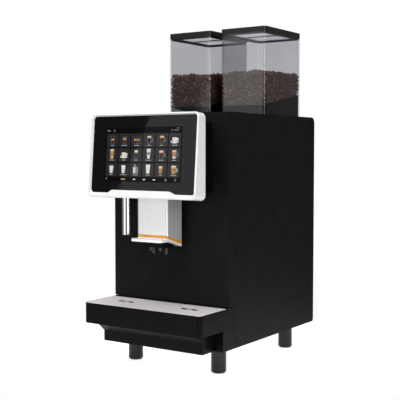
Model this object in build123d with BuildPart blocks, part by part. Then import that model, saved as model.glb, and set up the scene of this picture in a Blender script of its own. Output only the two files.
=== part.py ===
"""Countertop bean-to-cup coffee machine for self-service: casing, service door with a
touch display and a height-adjustable outlet, drip tray, two bean hoppers and the works inside.

Row frame: +Z up, the door faces -Y, the origin is on the floor under the middle of the machine.
All sizes are in millimetres.
"""

import os
from math import atan, cos, degrees, radians, sin

from build123d import *

os.makedirs("parts", exist_ok=True)

# ---------------------------------------------------------------- driving dimensions
# Casing
body_width = 340.0
body_depth = 434.0  # door face to the back cover
body_height = 555.0  # underside of the chassis to the top cover
front_reach = 119.0  # the drip tray stands this far in front of the door
sheet = 1.5  # casing sheet steel
panel_gap = 0.8  # seam between casing panels
running_gap = 0.3  # between pieces that move past each other
rear_wrap = 28.0  # the back cover folds this far round the sides
rear_round = 16.0  # top rear edge of the back cover
rear_bevel = 5.0  # bottom rear edge of the back cover
fascia_height = 99.5  # fixed front panel under the door
fascia_wall = 2.0

# Feet
foot_height = 62.5
foot_radius = 18.6
foot_spacing_x = 250.8
front_foot_setback = 26.3  # behind the door face
rear_foot_setback = 356.8
pad_radius = 15.0
pad_thickness = 4.5
pad_proud = 1.5
foot_round = 3.0

# Flush covers over the carrying grips in the side panels
grip_width = 34.0
grip_height = 76.5
grip_corner = 10.0
grip_seam = 0.4
grip_flange = 4.0
grip_flange_thickness = 2.0
grip_setbacks = (92.0, 346.8)  # middles, behind the door face
grip_level = 383.3  # middles, above the chassis underside

# Service door and its hinges
door_depth = 26.2
door_wall = 2.0
door_gap = 2.0  # between the door and the fixed fascia under it
hinge_inset = 8.0  # pin axis from the door's left face and from its back face
hinge_pin_radius = 3.0
hinge_clearance = 0.05
hinge_pin_length = 12.0
hinge_arm_thickness = 3.0
hinge_arm_half_width = 4.5
hinge_notch_radius = 12.0
hinge_notch_height = 8.0
hinge_leaf_height = 34.0
liner_wall = 2.0

# Touch display in its tilted frame
display_tilt = 4.76
display_width = 312.6
display_height = 197.6
display_rise = 454.2  # middle of the front face, above the chassis underside
display_front = 111.1  # the front face's middle stands this far in front of the door
display_back = 75.3  # flat back of the frame, in front of the door
display_corner = 13.0
display_edge_round = 3.0
bezel_bevel = 2.5  # inner edge sloping down to the glass, at the sides and the top
bezel_foot = 7.5  # the same slope below the glass
bezel_recess = 5.0
glass_width = 300.0
glass_top = 93.2  # upper edge of the glass above the frame's middle
glass_bottom = -87.7
glass_thickness = 3.0
glass_corner = 8.0
glass_clearance = 0.2
chin_rise = 6.7
chin_half_top = 83.0
chin_half_bottom = 99.0
chin_half_front = 107.0  # foot of the chin's flanks on the front face
panel_width = 236.0
panel_height = 144.0
panel_rise = 2.8  # middle of the screen panel above the frame's middle
panel_thickness = 7.0
frame_hollow_width = 236.0
frame_hollow_height = 150.0
frame_hollow_depth = 7.0

# Housing that carries the display on the door
housing_width = 248.0
housing_height = 171.5
housing_bottom = 364.5  # above the chassis underside
housing_corner = 12.0
housing_wall = 2.5

# Outlet head (slides up and down on the door)
spout_half_width = 44.4
spout_front = 70.5
spout_back = 12.0
spout_corner = 6.0
spout_wall = 2.0
spout_top = 432.5  # above the chassis underside
spout_lower = 267.6  # top of the amber band at the front, above the chassis underside
spout_slope = 17.2  # degrees that the lower edge falls towards the door
band_height = 6.7
spout_floor_height = 4.8
lip_half_width = 45.0
lip_reach = 26.5
lip_thickness = 6.5
lip_drop = 1.8  # lip top below the amber band's lower edge
lip_corner = 9.0
lip_root = 4.0  # how far the lip runs in under the head
outlet_half_width = 32.0
outlet_front = 62.0
outlet_back = 25.0
outlet_bottom = 237.0  # above the chassis underside
nozzle_wall = 1.2
coffee_nozzle_x = 14.0
coffee_nozzle_reach = 56.0
coffee_nozzle_radius = 3.5
coffee_nozzle_length = 8.5
milk_nozzle_x = 18.5
milk_nozzle_reach = 38.0
milk_nozzle_radius = 4.5
milk_nozzle_length = 17.0
rail_half_width = 12.0
rail_depth = 9.0
rail_bottom = 243.0  # above the chassis underside
rail_top = 527.0
carriage_bottom = 270.0
carriage_top = 432.0
carriage_depth = 13.0
carriage_ear_half_width = 28.0

# Hot-water tube
water_tube_radius = 11.5
water_tube_wall = 2.0
water_tube_x = -99.4
water_tube_reach = 40.0
water_tube_bottom = 260.9  # above the chassis underside
water_tube_length = 148.6
water_tube_clearance = 0.2

# Drip tray, cup grid and what carries them
tray_half_width = 170.0
tray_height = 49.0
tray_rise = 48.8  # underside above the chassis underside
tray_corner = 10.0
tray_wall = 2.5
tray_rim = 3.0
tray_ledge = 4.0
grid_thickness = 1.5
grid_clearance = 0.3
grid_slot_length = 22.0
grid_slot_width = 3.0
grid_slot_columns = 11
grid_slot_rows = 7
grid_slot_pitch_x = 27.0
grid_slot_pitch_y = 13.5
grid_rib_depth = 8.0
plinth_depth = 24.0
support_half_width = 145.5
support_reach = 73.7
support_flare_reach = 100.0
support_flare_rise = 24.5  # where the flare starts, above the chassis underside
support_wall = 2.5

# Bean hoppers
hopper_width = 133.0
hopper_depth = 190.4
hopper_centre_x = 82.0
hopper_setback = 203.1  # front of the hoppers behind the door face
hopper_wall = 3.0
hopper_corner = 9.0
hopper_height = 208.2  # clear walls, from the top cover to the lid
hopper_floor_front = 26.0  # black base at the front, above the top cover
hopper_floor_rear = 60.0
throat_setback = 43.5  # from the hopper's front
throat_radius = 19.0
spigot_radius = 24.0
spigot_length = 14.0
spigot_clearance = 0.4
funnel_radius = 33.0
funnel_rise = 6.0  # where the funnel starts, above the top cover
funnel_height = 30.0
lid_height = 13.4
lid_lip = 4.0
lid_lip_wall = 2.5
lid_clearance = 0.4
lid_border = 20.0
lid_bar = 16.0
lid_bar_share = 0.48  # of the depth, from the front
window_thickness = 2.5
window_ledge = 2.0
bean_front = 113.0  # bean level at the front, above the top cover
bean_rear = 117.0
bean_clearance = 0.3

# Works inside
frame_sheet = 2.0
frame_margin = 18.0
bulkhead_setback = 167.5  # behind the door face
deck_rise = 367.5  # grinder shelf above the chassis underside
base_flange = 20.0
motor_radius = 36.0
motor_height = 84.0
chamber_radius = 44.0
chamber_height = 70.0
chamber_wall = 8.0
collar_radius = 30.0
burr_radius = 26.0
burr_height = 22.0
burr_shaft_radius = 5.0
burr_shaft_length = 30.0
shaft_clearance = 0.05
chute_radius = 13.0
chute_wall = 1.5
brewer_half_width = 50.0
brewer_depth = 105.0
brewer_bottom = 225.0  # above the chassis underside
brewer_height = 120.0
brew_bore_radius = 27.0
brew_bore_depth = 80.0
piston_height = 14.0
piston_start = 12.0  # above the bore's bottom
piston_rod_radius = 6.0
grounds_half_width = 75.0
grounds_depth = 118.0
grounds_height = 112.0
grounds_wall = 2.0
boiler_radius = 50.0
boiler_height = 200.0
boiler_dome = 18.0
boiler_skirt_height = 18.0
boiler_skirt_radius = 40.0
boiler_place = (-90.0, 255.0)  # X, and middle behind the door face
boiler_port_radius = 5.5
boiler_port_height = 22.0
pump_motor_radius = 33.0
pump_motor_length = 90.0
pump_head_radius = 25.0
pump_head_length = 36.0
pump_foot_height = 14.0
pump_place = (70.0, 187.5)
supply_size = (88.0, 54.0, 150.0)
supply_place = (95.0, 368.0)
board_size = (140.0, 96.0)
board_x = 78.0
board_parts_depth = 14.0
board_thickness = 1.6
board_standoff = 8.0
board_rise = 250.0
fan_size = 92.0
fan_depth = 25.0
fan_bore = 43.0
fan_hub_radius = 17.0
fan_blade_radius = 41.0
fan_blades = 7
fan_blade_width = 18.0
fan_blade_thickness = 2.0
fan_blade_pitch = 35.0
fan_place = (0.0, 440.0)  # X, and above the chassis underside
fan_shaft_radius = 3.0
grille_rings = (37.0, 29.0, 21.0, 13.0)
grille_slot = 4.0
vent_length = 60.0
vent_width = 4.0
vent_rows = 8
vent_pitch = 11.0
inlet_size = (48.0, 28.0)
inlet_depth = 24.0
inlet_flange = 4.0
inlet_socket = (25.0, 16.5, 17.0)
inlet_place = (-120.0, 60.0)
switch_size = (19.0, 26.0)
switch_depth = 18.0
switch_wall = 2.0
switch_pin_radius = 1.5
switch_pin_setback = 6.0
rocker_clearance = 2.2
rocker_depth = 7.0
rocker_hollow = 1.5  # how far the rocker's middle dips
switch_place = (-72.0, 60.0)
connector_setback = 380.0
water_inlet_radius = 13.2
water_inlet_length = 16.0
water_inlet_x = -75.0
drain_radius = 10.0
drain_length = 26.0
drain_x = -30.0
fitting_wall = 3.0
fitting_shoulder = 1.5  # the neck through the base pan is this much slimmer than the stub
fitting_nut_radius = 17.0
fitting_nut_height = 9.0

# ---------------------------------------------------------------- places that follow
half_width = body_width / 2
door_face = (front_reach - body_depth) / 2
back_face = door_face + body_depth
chassis = foot_height
body_top = chassis + body_height
door_back = door_face + door_depth
cabinet_front = door_back + panel_gap
fascia_top = chassis + fascia_height
door_bottom = fascia_top + door_gap
rear_cover_front = back_face - rear_wrap
panel_back = rear_cover_front - panel_gap
inner_half = half_width - sheet
bulkhead_front = door_face + bulkhead_setback
bulkhead_back = bulkhead_front + frame_sheet
deck_top = chassis + deck_rise
hinge_x = -half_width + hinge_inset
hinge_y = door_back - hinge_inset


def block(x_limits, y_limits, z_limits, mode=Mode.ADD):
    """Add a box given its lowest and highest X, Y and Z to the part being built."""
    limits = (x_limits, y_limits, z_limits)
    with Locations(tuple((low + high) / 2 for low, high in limits)):
        Box(*(high - low for low, high in limits), mode=mode)


def column(x, y, radius, z_limits, mode=Mode.ADD):
    """Add an upright cylinder between two levels to the part being built."""
    with Locations((x, y, (z_limits[0] + z_limits[1]) / 2)):
        Cylinder(radius, z_limits[1] - z_limits[0], mode=mode)


# ---------------------------------------------------------------- chassis and casing
# Base pan: flat plate with a turned-up flange at the front and along both sides.
base_half = half_width - fascia_wall
base_front = door_face + fascia_wall
base_back = rear_cover_front - panel_gap
with BuildPart() as base_pan:
    block((-base_half, base_half), (base_front, base_back), (chassis, chassis + frame_sheet))
    flange_levels = (chassis, chassis + base_flange)
    block((-base_half, base_half), (base_front, base_front + frame_sheet), flange_levels)
    for side in (-1, 1):
        edges_x = sorted((side * base_half, side * (base_half - frame_sheet)))
        block(edges_x, (base_front, base_back), flange_levels)
    for x, radius in ((water_inlet_x, water_inlet_radius), (drain_x, drain_radius)):
        with Locations((x, door_face + connector_setback, chassis)):
            Cylinder(radius - fitting_shoulder, 4 * frame_sheet, mode=Mode.SUBTRACT)
base_pan.part.label = "base_pan"
export_step(base_pan.part, "parts/base_pan.step")

# Side panels: flat powder-coated sheets, each with two openings for the carrying grips.
for side, name in ((-1, "left_side_panel"), (1, "right_side_panel")):
    with BuildPart() as side_panel:
        with BuildSketch(Plane.YZ.offset(side * half_width)):
            with Locations(((cabinet_front + panel_back) / 2, chassis + body_height / 2)):
                Rectangle(panel_back - cabinet_front, body_height)
            with Locations(*((door_face + y, chassis + grip_level) for y in grip_setbacks)):
                RectangleRounded(grip_width, grip_height, grip_corner, mode=Mode.SUBTRACT)
        extrude(amount=-side * sheet)
    side_panel.part.label = name
    export_step(side_panel.part, f"parts/{name}.step")

# Grip covers: flush plates that fill the openings, with a wider flange behind the sheet.
with BuildPart() as grip_covers:
    for side in (-1, 1):
        places = [(door_face + y, chassis + grip_level) for y in grip_setbacks]
        with BuildSketch(Plane.YZ.offset(side * half_width)):
            with Locations(*places):
                RectangleRounded(grip_width - 2 * grip_seam, grip_height - 2 * grip_seam,
                                 grip_corner - grip_seam)
        extrude(amount=-side * sheet)
        with BuildSketch(Plane.YZ.offset(side * inner_half)):
            with Locations(*places):
                RectangleRounded(grip_width + 2 * grip_flange, grip_height + 2 * grip_flange,
                                 grip_corner + grip_flange)
        extrude(amount=-side * grip_flange_thickness)
grip_covers.part.label = "grip_covers"
export_step(grip_covers.part, "parts/grip_covers.step")

# Top cover: sheet between the side panels, with a round hole under each hopper.
throat_y = door_face + hopper_setback + throat_setback
hopper_places = [(-hopper_centre_x, throat_y), (hopper_centre_x, throat_y)]
with BuildPart() as top_cover:
    with BuildSketch(Plane.XY.offset(body_top - sheet)):
        with Locations((0, (cabinet_front + panel_back) / 2)):
            Rectangle(2 * inner_half, panel_back - cabinet_front)
        with Locations(*hopper_places):
            Circle(spigot_radius + spigot_clearance, mode=Mode.SUBTRACT)
    extrude(amount=sheet)
top_cover.part.label = "top_cover"
export_step(top_cover.part, "parts/top_cover.step")

# Back cover: one pan folded round the rear edges, with the fan grille, air slots and cut-outs.
with BuildPart() as rear_cover:
    block((-half_width, half_width), (rear_cover_front, back_face), (chassis, body_top))
    back_edges = rear_cover.edges().filter_by(Axis.X).group_by(Axis.Y)[-1].sort_by(Axis.Z)
    fillet(back_edges[-1], rear_round)
    chamfer(back_edges[0], rear_bevel)
    hollow = rear_cover.faces().sort_by(Axis.Y)[0]
    offset(amount=-sheet, openings=hollow)
    with BuildSketch(Plane.XZ.offset(-back_face)):
        with Locations((fan_place[0], chassis + fan_place[1])):
            for ring in grille_rings:
                Circle(ring + grille_slot / 2)
                Circle(ring - grille_slot / 2, mode=Mode.SUBTRACT)
            for angle in (45, -45):
                Rectangle(3 * fan_bore, grille_slot, rotation=angle, mode=Mode.SUBTRACT)
        with Locations((0, chassis + body_height / 2)):
            with GridLocations(2 * vent_length, vent_pitch, 2, vent_rows):
                SlotOverall(vent_length, vent_width)
        with Locations((inlet_place[0], chassis + inlet_place[1])):
            Rectangle(*inlet_size)
        with Locations((switch_place[0], chassis + switch_place[1])):
            Rectangle(*switch_size)
    extrude(amount=2 * sheet, both=True, mode=Mode.SUBTRACT)
rear_cover.part.label = "rear_cover"
export_step(rear_cover.part, "parts/rear_cover.step")

# Lower fascia: fixed front panel under the door, a pan open at the back.
with BuildPart() as lower_fascia:
    block((-half_width, half_width), (door_face, door_back), (chassis, fascia_top))
    block((-base_half, base_half), (base_front, door_back), (chassis, fascia_top - fascia_wall),
          Mode.SUBTRACT)
lower_fascia.part.label = "lower_fascia"
export_step(lower_fascia.part, "parts/lower_fascia.step")

# Front frame: the plate that the door closes against.
frame_back = cabinet_front + frame_sheet
hinge_levels = (door_bottom + hinge_notch_height / 2, body_top - hinge_notch_height / 2)
with BuildPart() as front_frame:
    with BuildSketch(Plane.XZ.offset(-cabinet_front)):
        frame_levels = (fascia_top + door_gap, body_top - sheet)
        with Locations((0, sum(frame_levels) / 2)):
            Rectangle(2 * inner_half, frame_levels[1] - frame_levels[0])
            Rectangle(2 * (inner_half - frame_margin),
                      frame_levels[1] - frame_levels[0] - 2 * frame_margin, mode=Mode.SUBTRACT)
        for level in hinge_levels:
            with Locations((hinge_x, level)):
                Rectangle(2 * (hinge_arm_half_width + running_gap),
                          hinge_arm_thickness + 2 * running_gap, mode=Mode.SUBTRACT)
    extrude(amount=-frame_sheet)
front_frame.part.label = "front_frame"
export_step(front_frame.part, "parts/front_frame.step")

# Bulkhead: folded sheet that parts the brewing space from the works, with a shelf at its foot.
with BuildPart() as bulkhead:
    block((-base_half, base_half), (bulkhead_front, bulkhead_back),
          (chassis + frame_sheet, deck_top - frame_sheet))
    block((-base_half, base_half), (frame_back, bulkhead_front),
          (fascia_top - frame_sheet, fascia_top))
    block((-base_half + frame_sheet, base_half - frame_sheet), (bulkhead_front, bulkhead_back),
          (chassis, chassis + 2 * frame_sheet), Mode.SUBTRACT)
    block((-base_half - 1, -base_half + frame_sheet), (bulkhead_front, bulkhead_back),
          (chassis, chassis + base_flange), Mode.SUBTRACT)
    block((base_half - frame_sheet, base_half + 1), (bulkhead_front, bulkhead_back),
          (chassis, chassis + base_flange), Mode.SUBTRACT)
bulkhead.part.label = "bulkhead"
export_step(bulkhead.part, "parts/bulkhead.step")

# Grinder deck: shelf across the cabinet that carries both grinders.
deck_half = inner_half - grip_flange_thickness - running_gap
with BuildPart() as grinder_deck:
    block((-deck_half, deck_half), (bulkhead_front, panel_back), (deck_top - frame_sheet, deck_top))
    block((-deck_half, deck_half), (panel_back - frame_sheet, panel_back),
          (deck_top - base_flange, deck_top))
grinder_deck.part.label = "grinder_deck"
export_step(grinder_deck.part, "parts/grinder_deck.step")

# ---------------------------------------------------------------- feet
foot_places = [
    (side * foot_spacing_x / 2, door_face + setback)
    for setback in (front_foot_setback, rear_foot_setback)
    for side in (-1, 1)
]
with BuildPart() as feet:
    with BuildSketch(Plane.XY.offset(pad_proud)):
        with Locations(*foot_places):
            Circle(foot_radius)
    extrude(amount=foot_height - pad_proud)
    fillet(feet.edges().group_by(Axis.Z)[0], foot_round)
    with BuildSketch(Plane.XY.offset(pad_proud)):
        with Locations(*foot_places):
            Circle(pad_radius)
    extrude(amount=pad_thickness - pad_proud, mode=Mode.SUBTRACT)
feet.part.label = "feet"
export_step(feet.part, "parts/feet.step")

with BuildPart() as foot_pads:
    with BuildSketch(Plane.XY):
        with Locations(*foot_places):
            Circle(pad_radius)
    extrude(amount=pad_thickness)
foot_pads.part.label = "foot_pads"
export_step(foot_pads.part, "parts/foot_pads.step")

# ---------------------------------------------------------------- drip tray group
tray_bottom = chassis + tray_rise
tray_top = tray_bottom + tray_height
tray_front = door_face - front_reach
tray_back = door_face - running_gap

# Tray support: a plinth across the foot of the fascia with a flared bracket in front of it.
plinth_top = tray_bottom - running_gap
plinth_front = door_face - plinth_depth
support_front = door_face - support_reach
with BuildPart() as tray_support:
    support_profile = [
        (door_face, chassis),
        (support_front, chassis),
        (support_front, chassis + support_flare_rise),
        (door_face - support_flare_reach, plinth_top),
        (door_face, plinth_top),
    ]
    with BuildSketch(Plane.YZ):
        with BuildLine():
            Polyline(*support_profile, close=True)
        make_face()
    extrude(amount=support_half_width, both=True)
    block((-tray_half_width, tray_half_width), (plinth_front, door_face), (chassis, plinth_top))
    hollow_top = plinth_top - support_wall
    block((-support_half_width + support_wall, support_half_width - support_wall),
          (support_front + support_wall, door_face), (chassis, hollow_top), Mode.SUBTRACT)
    block((-tray_half_width + support_wall, tray_half_width - support_wall),
          (plinth_front + support_wall, door_face), (chassis, hollow_top), Mode.SUBTRACT)
tray_support.part.label = "tray_support"
export_step(tray_support.part, "parts/tray_support.step")

# Drip tray: deep open box with round front corners and a ledge for the cup grid.
tray_length = tray_back - tray_front
tray_middle = (tray_front + tray_back) / 2
grid_seat = tray_top - grid_thickness - grid_clearance
with BuildPart() as drip_tray:
    with BuildSketch(Plane.XY.offset(tray_bottom)):
        with Locations((0, tray_middle)):
            Rectangle(2 * tray_half_width, tray_length)
        fillet(vertices().group_by(Axis.Y)[0], tray_corner)
    extrude(amount=tray_height)
    with BuildSketch(Plane.XY.offset(grid_seat)):
        with Locations((0, tray_middle)):
            Rectangle(2 * (tray_half_width - tray_rim), tray_length - 2 * tray_rim)
        fillet(vertices().group_by(Axis.Y)[0], tray_corner - tray_rim)
    extrude(amount=tray_top - grid_seat, mode=Mode.SUBTRACT)
    tray_inner_half = tray_half_width - tray_rim - tray_ledge
    tray_inner_length = tray_length - 2 * (tray_rim + tray_ledge)
    with BuildSketch(Plane.XY.offset(tray_bottom + tray_wall)):
        with Locations((0, tray_middle)):
            Rectangle(2 * tray_inner_half, tray_inner_length)
        fillet(vertices().group_by(Axis.Y)[0], tray_corner - tray_rim - tray_ledge)
    extrude(amount=tray_height, mode=Mode.SUBTRACT)
drip_tray.part.label = "drip_tray"
export_step(drip_tray.part, "parts/drip_tray.step")

# Cup grid: stainless plate with drain slots and a turned-down rib along its front and back.
with BuildPart() as cup_grid:
    grid_half = tray_half_width - tray_rim - grid_clearance
    grid_length = tray_length - 2 * (tray_rim + grid_clearance)
    with BuildSketch(Plane.XY.offset(tray_top - grid_thickness)):
        with Locations((0, tray_middle)):
            Rectangle(2 * grid_half, grid_length)
        fillet(vertices().group_by(Axis.Y)[0], tray_corner - tray_rim - grid_clearance)
        with Locations((0, tray_middle)):
            with GridLocations(grid_slot_pitch_x, grid_slot_pitch_y, grid_slot_columns,
                               grid_slot_rows):
                SlotOverall(grid_slot_length, grid_slot_width, mode=Mode.SUBTRACT)
    extrude(amount=grid_thickness)
    rib_half = tray_inner_half - tray_corner
    rib_offset = tray_inner_length / 2 - running_gap
    for end in (-1, 1):
        rib_y = sorted((tray_middle + end * rib_offset,
                        tray_middle + end * (rib_offset - grid_thickness)))
        block((-rib_half, rib_half), rib_y, (tray_top - grid_rib_depth, tray_top - grid_thickness))
cup_grid.part.label = "cup_grid"
export_step(cup_grid.part, "parts/cup_grid.step")

# ---------------------------------------------------------------- service door
# Door shell: folded sheet with closed edges; its back is open between the hinge side and the
# right edge. The rear left edge is rounded about the hinge pins, so it turns without rubbing.
door_height = body_top - door_bottom
with BuildPart() as door_shell:
    with BuildSketch(Plane.XY.offset(door_bottom)):
        with Locations((0, (door_face + door_back) / 2)):
            Rectangle(body_width, door_depth)
        fillet(vertices().sort_by(Axis.X)[0:2].sort_by(Axis.Y)[-1], hinge_inset)
    extrude(amount=door_height)
    hollow_left = -half_width + 2 * hinge_inset
    hollow_levels = (door_bottom + door_wall, body_top - door_wall)
    block((hollow_left, half_width - door_wall), (door_face + door_wall, door_back), hollow_levels,
          Mode.SUBTRACT)
    for level in (door_bottom, body_top):
        with Locations((hinge_x, hinge_y, level)):
            Cylinder(hinge_notch_radius, 2 * hinge_notch_height, mode=Mode.SUBTRACT)
            Cylinder(hinge_pin_radius + hinge_clearance,
                     2 * (hinge_notch_height + hinge_pin_length), mode=Mode.SUBTRACT)
door_shell.part.label = "door_shell"
export_step(door_shell.part, "parts/door_shell.step")

# Door liner: plate that closes the back of the door.
with BuildPart() as door_liner:
    block((hollow_left, half_width - door_wall), (door_back - liner_wall, door_back), hollow_levels)
    for level in (door_bottom, body_top):
        with Locations((hinge_x, hinge_y, level)):
            Cylinder(hinge_notch_radius + running_gap, 2 * hinge_notch_height, mode=Mode.SUBTRACT)
door_liner.part.label = "door_liner"
export_step(door_liner.part, "parts/door_liner.step")

# Hinges: an arm from the front frame into the door's notch, with the pin that the door turns on.
for level, into_door, name in ((hinge_levels[0], 1, "hinge_lower"),
                               (hinge_levels[1], -1, "hinge_upper")):
    arm = (level - hinge_arm_thickness / 2, level + hinge_arm_thickness / 2)
    with BuildPart() as hinge:
        with BuildSketch(Plane.XY.offset(arm[0])):
            with Locations((hinge_x, hinge_y)):
                Circle(hinge_arm_half_width)
            with Locations((hinge_x, (hinge_y + frame_back) / 2)):
                Rectangle(2 * hinge_arm_half_width, frame_back - hinge_y)
        extrude(amount=hinge_arm_thickness)
        leaf_far = level + into_door * (hinge_leaf_height - hinge_arm_thickness / 2)
        leaf_near = level - into_door * hinge_arm_thickness / 2
        block((hinge_x - hinge_arm_half_width, hinge_x + 2 * hinge_arm_half_width),
              (frame_back, frame_back + hinge_arm_thickness), sorted((leaf_near, leaf_far)))
        pin_end = level + into_door * (hinge_notch_height / 2 + hinge_pin_length - running_gap)
        column(hinge_x, hinge_y, hinge_pin_radius, sorted((level, pin_end)))
    hinge.part.label = name
    export_step(hinge.part, f"parts/{name}.step")

# ---------------------------------------------------------------- display
# The display's own plane: its origin is the middle of the frame's front face, its local X runs
# along +X, its local Y runs up the leaning face and its local Z points out of the screen.
lean = radians(display_tilt)
display_z = chassis + display_rise
display_plane = Plane(
    origin=(0, door_face - display_front, display_z),
    x_dir=(1, 0, 0),
    z_dir=(0, -cos(lean), sin(lean)),
)
frame_back_y = door_face - display_back
glass_half = glass_width / 2
chin_level = glass_bottom + chin_rise


def glass_outline(growth, low, chin, chin_foot):
    """Closed outline of the glass opening: its lower edge steps up to the chin in its middle."""
    side = glass_half + growth
    top = glass_top + growth
    return Polyline(
        (-side, low), (-chin_foot, low), (-chin_half_top, chin), (chin_half_top, chin),
        (chin_foot, low), (side, low), (side, top), (-side, top), close=True)


def outer_corners(sketch_vertices):
    """The four corners farthest out to the left and right."""
    columns = sketch_vertices.group_by(Axis.X)
    return columns[0] + columns[-1]


# Frame: one white moulding, its back upright against the housing, its front leaning back.
with BuildPart() as display_frame:
    with BuildSketch(display_plane):
        RectangleRounded(display_width, display_height, display_corner)
    extrude(amount=-display_height / 2)
    fillet(display_frame.faces().sort_by(Axis.Y)[0].edges(), display_edge_round)
    block((-display_width, display_width), (frame_back_y, frame_back_y + display_height),
          (display_z - display_height, display_z + display_height), Mode.SUBTRACT)
    fillet(display_frame.faces().sort_by(Axis.Y)[-1].edges(), display_edge_round)
    # Opening that narrows from the front face down to the glass
    with BuildSketch(display_plane, mode=Mode.PRIVATE) as opening_front:
        with BuildLine():
            glass_outline(bezel_bevel, glass_bottom - bezel_foot, chin_level, chin_half_front)
        make_face()
        fillet(outer_corners(vertices()), glass_corner + bezel_bevel)
    with BuildSketch(display_plane.offset(-bezel_recess), mode=Mode.PRIVATE) as opening_back:
        with BuildLine():
            glass_outline(0, glass_bottom, chin_level, chin_half_bottom)
        make_face()
        fillet(outer_corners(vertices()), glass_corner)
    loft(sections=[opening_front.sketch, opening_back.sketch], ruled=True, mode=Mode.SUBTRACT)
    # Pocket for the glass, then one for the screen panel, then the hollow open to the back
    with BuildSketch(display_plane.offset(-bezel_recess)):
        with BuildLine():
            glass_outline(0, glass_bottom, chin_level, chin_half_bottom)
        make_face()
        fillet(outer_corners(vertices()), glass_corner)
    extrude(amount=-glass_thickness, mode=Mode.SUBTRACT)
    with BuildSketch(display_plane.offset(-bezel_recess - glass_thickness)):
        with Locations((0, panel_rise)):
            Rectangle(panel_width, panel_height)
    extrude(amount=-panel_thickness, mode=Mode.SUBTRACT)
    with BuildSketch(Plane.XZ.offset(-frame_back_y)):
        with Locations((0, display_z)):
            Rectangle(frame_hollow_width, frame_hollow_height)
    extrude(amount=frame_hollow_depth, mode=Mode.SUBTRACT)
display_frame.part.label = "display_frame"
export_step(display_frame.part, "parts/display_frame.step")

# Touch glass: flat black sheet with the chin's shape cut out of its lower edge.
with BuildPart() as display_glass:
    with BuildSketch(display_plane.offset(-bezel_recess)):
        with BuildLine():
            glass_outline(-glass_clearance, glass_bottom + glass_clearance,
                          chin_level + glass_clearance, chin_half_bottom)
        make_face()
        fillet(outer_corners(vertices()), glass_corner)
    extrude(amount=-glass_thickness)
display_glass.part.label = "display_glass"
export_step(display_glass.part, "parts/display_glass.step")

# Screen panel: the flat display module behind the glass.
with BuildPart() as display_panel:
    with BuildSketch(display_plane.offset(-bezel_recess - glass_thickness)):
        with Locations((0, panel_rise)):
            Rectangle(panel_width - 2 * glass_clearance, panel_height - 2 * glass_clearance)
    extrude(amount=-panel_thickness)
display_panel.part.label = "display_panel"
export_step(display_panel.part, "parts/display_panel.step")

# Housing: black box between the door and the frame; the outlet head retracts into it from below.
housing_low = chassis + housing_bottom
housing_middle = housing_low + housing_height / 2
spout_front_y = door_face - spout_front
spout_back_y = door_face - spout_back
tube_y = door_face - water_tube_reach
with BuildPart() as display_housing:
    with BuildSketch(Plane.XZ.offset(-door_face)):
        with Locations((0, housing_middle)):
            RectangleRounded(housing_width, housing_height, housing_corner)
    extrude(amount=display_back)
    with BuildSketch(Plane.XZ.offset(-door_face)):
        with Locations((0, housing_middle)):
            RectangleRounded(housing_width - 2 * housing_wall, housing_height - 2 * housing_wall,
                             housing_corner - housing_wall)
    extrude(amount=display_back - housing_wall, mode=Mode.SUBTRACT)
    mouth_half = spout_half_width + spout_wall
    housing_inner_front = frame_back_y + housing_wall
    block((-mouth_half, mouth_half), (housing_inner_front, door_face),
          (housing_low, housing_low + 2 * housing_wall), Mode.SUBTRACT)
    column(water_tube_x, tube_y, water_tube_radius + water_tube_clearance,
           (housing_low, housing_low + 2 * housing_wall), Mode.SUBTRACT)
display_housing.part.label = "display_housing"
export_step(display_housing.part, "parts/display_housing.step")

# ---------------------------------------------------------------- outlet head
band_top = chassis + spout_lower
floor_top = band_top - band_height
floor_bottom = floor_top - spout_floor_height
slope = radians(spout_slope)
spout_middle_y = (spout_front_y + spout_back_y) / 2
spout_depth = spout_front - spout_back


def slanted(level):
    """Plane through the head's front face at a level, falling towards the door."""
    return Plane(origin=(0, spout_front_y, level), z_dir=(0, sin(slope), cos(slope)))


def head_outline(inset):
    """Outline of the head seen from above, with its two front corners rounded."""
    with Locations((0, spout_middle_y + inset / 2)):
        Rectangle(2 * (spout_half_width - inset), spout_depth - inset)
    fillet(vertices().group_by(Axis.Y)[0], spout_corner - inset)


# Cover: bright three-sided shell, open towards the door.
head_low = band_top - spout_depth
head_high = chassis + spout_top
with BuildPart() as spout_cover:
    with BuildSketch(Plane.XY.offset(head_low)):
        head_outline(0)
    extrude(amount=head_high - head_low)
    with BuildSketch(Plane.XY.offset(head_low)):
        head_outline(spout_wall)
    extrude(amount=head_high - head_low, mode=Mode.SUBTRACT)
    split(bisect_by=slanted(band_top), keep=Keep.TOP)
spout_cover.part.label = "spout_cover"
export_step(spout_cover.part, "parts/spout_cover.step")

# Amber band: translucent strip round the lower edge of the cover.
with BuildPart() as spout_band:
    with BuildSketch(Plane.XY.offset(head_low)):
        head_outline(0)
    extrude(amount=head_high - head_low)
    with BuildSketch(Plane.XY.offset(head_low)):
        head_outline(spout_wall)
    extrude(amount=head_high - head_low, mode=Mode.SUBTRACT)
    split(bisect_by=slanted(band_top), keep=Keep.BOTTOM)
    split(bisect_by=slanted(floor_top), keep=Keep.TOP)
spout_band.part.label = "spout_band"
export_step(spout_band.part, "parts/spout_band.step")

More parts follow.
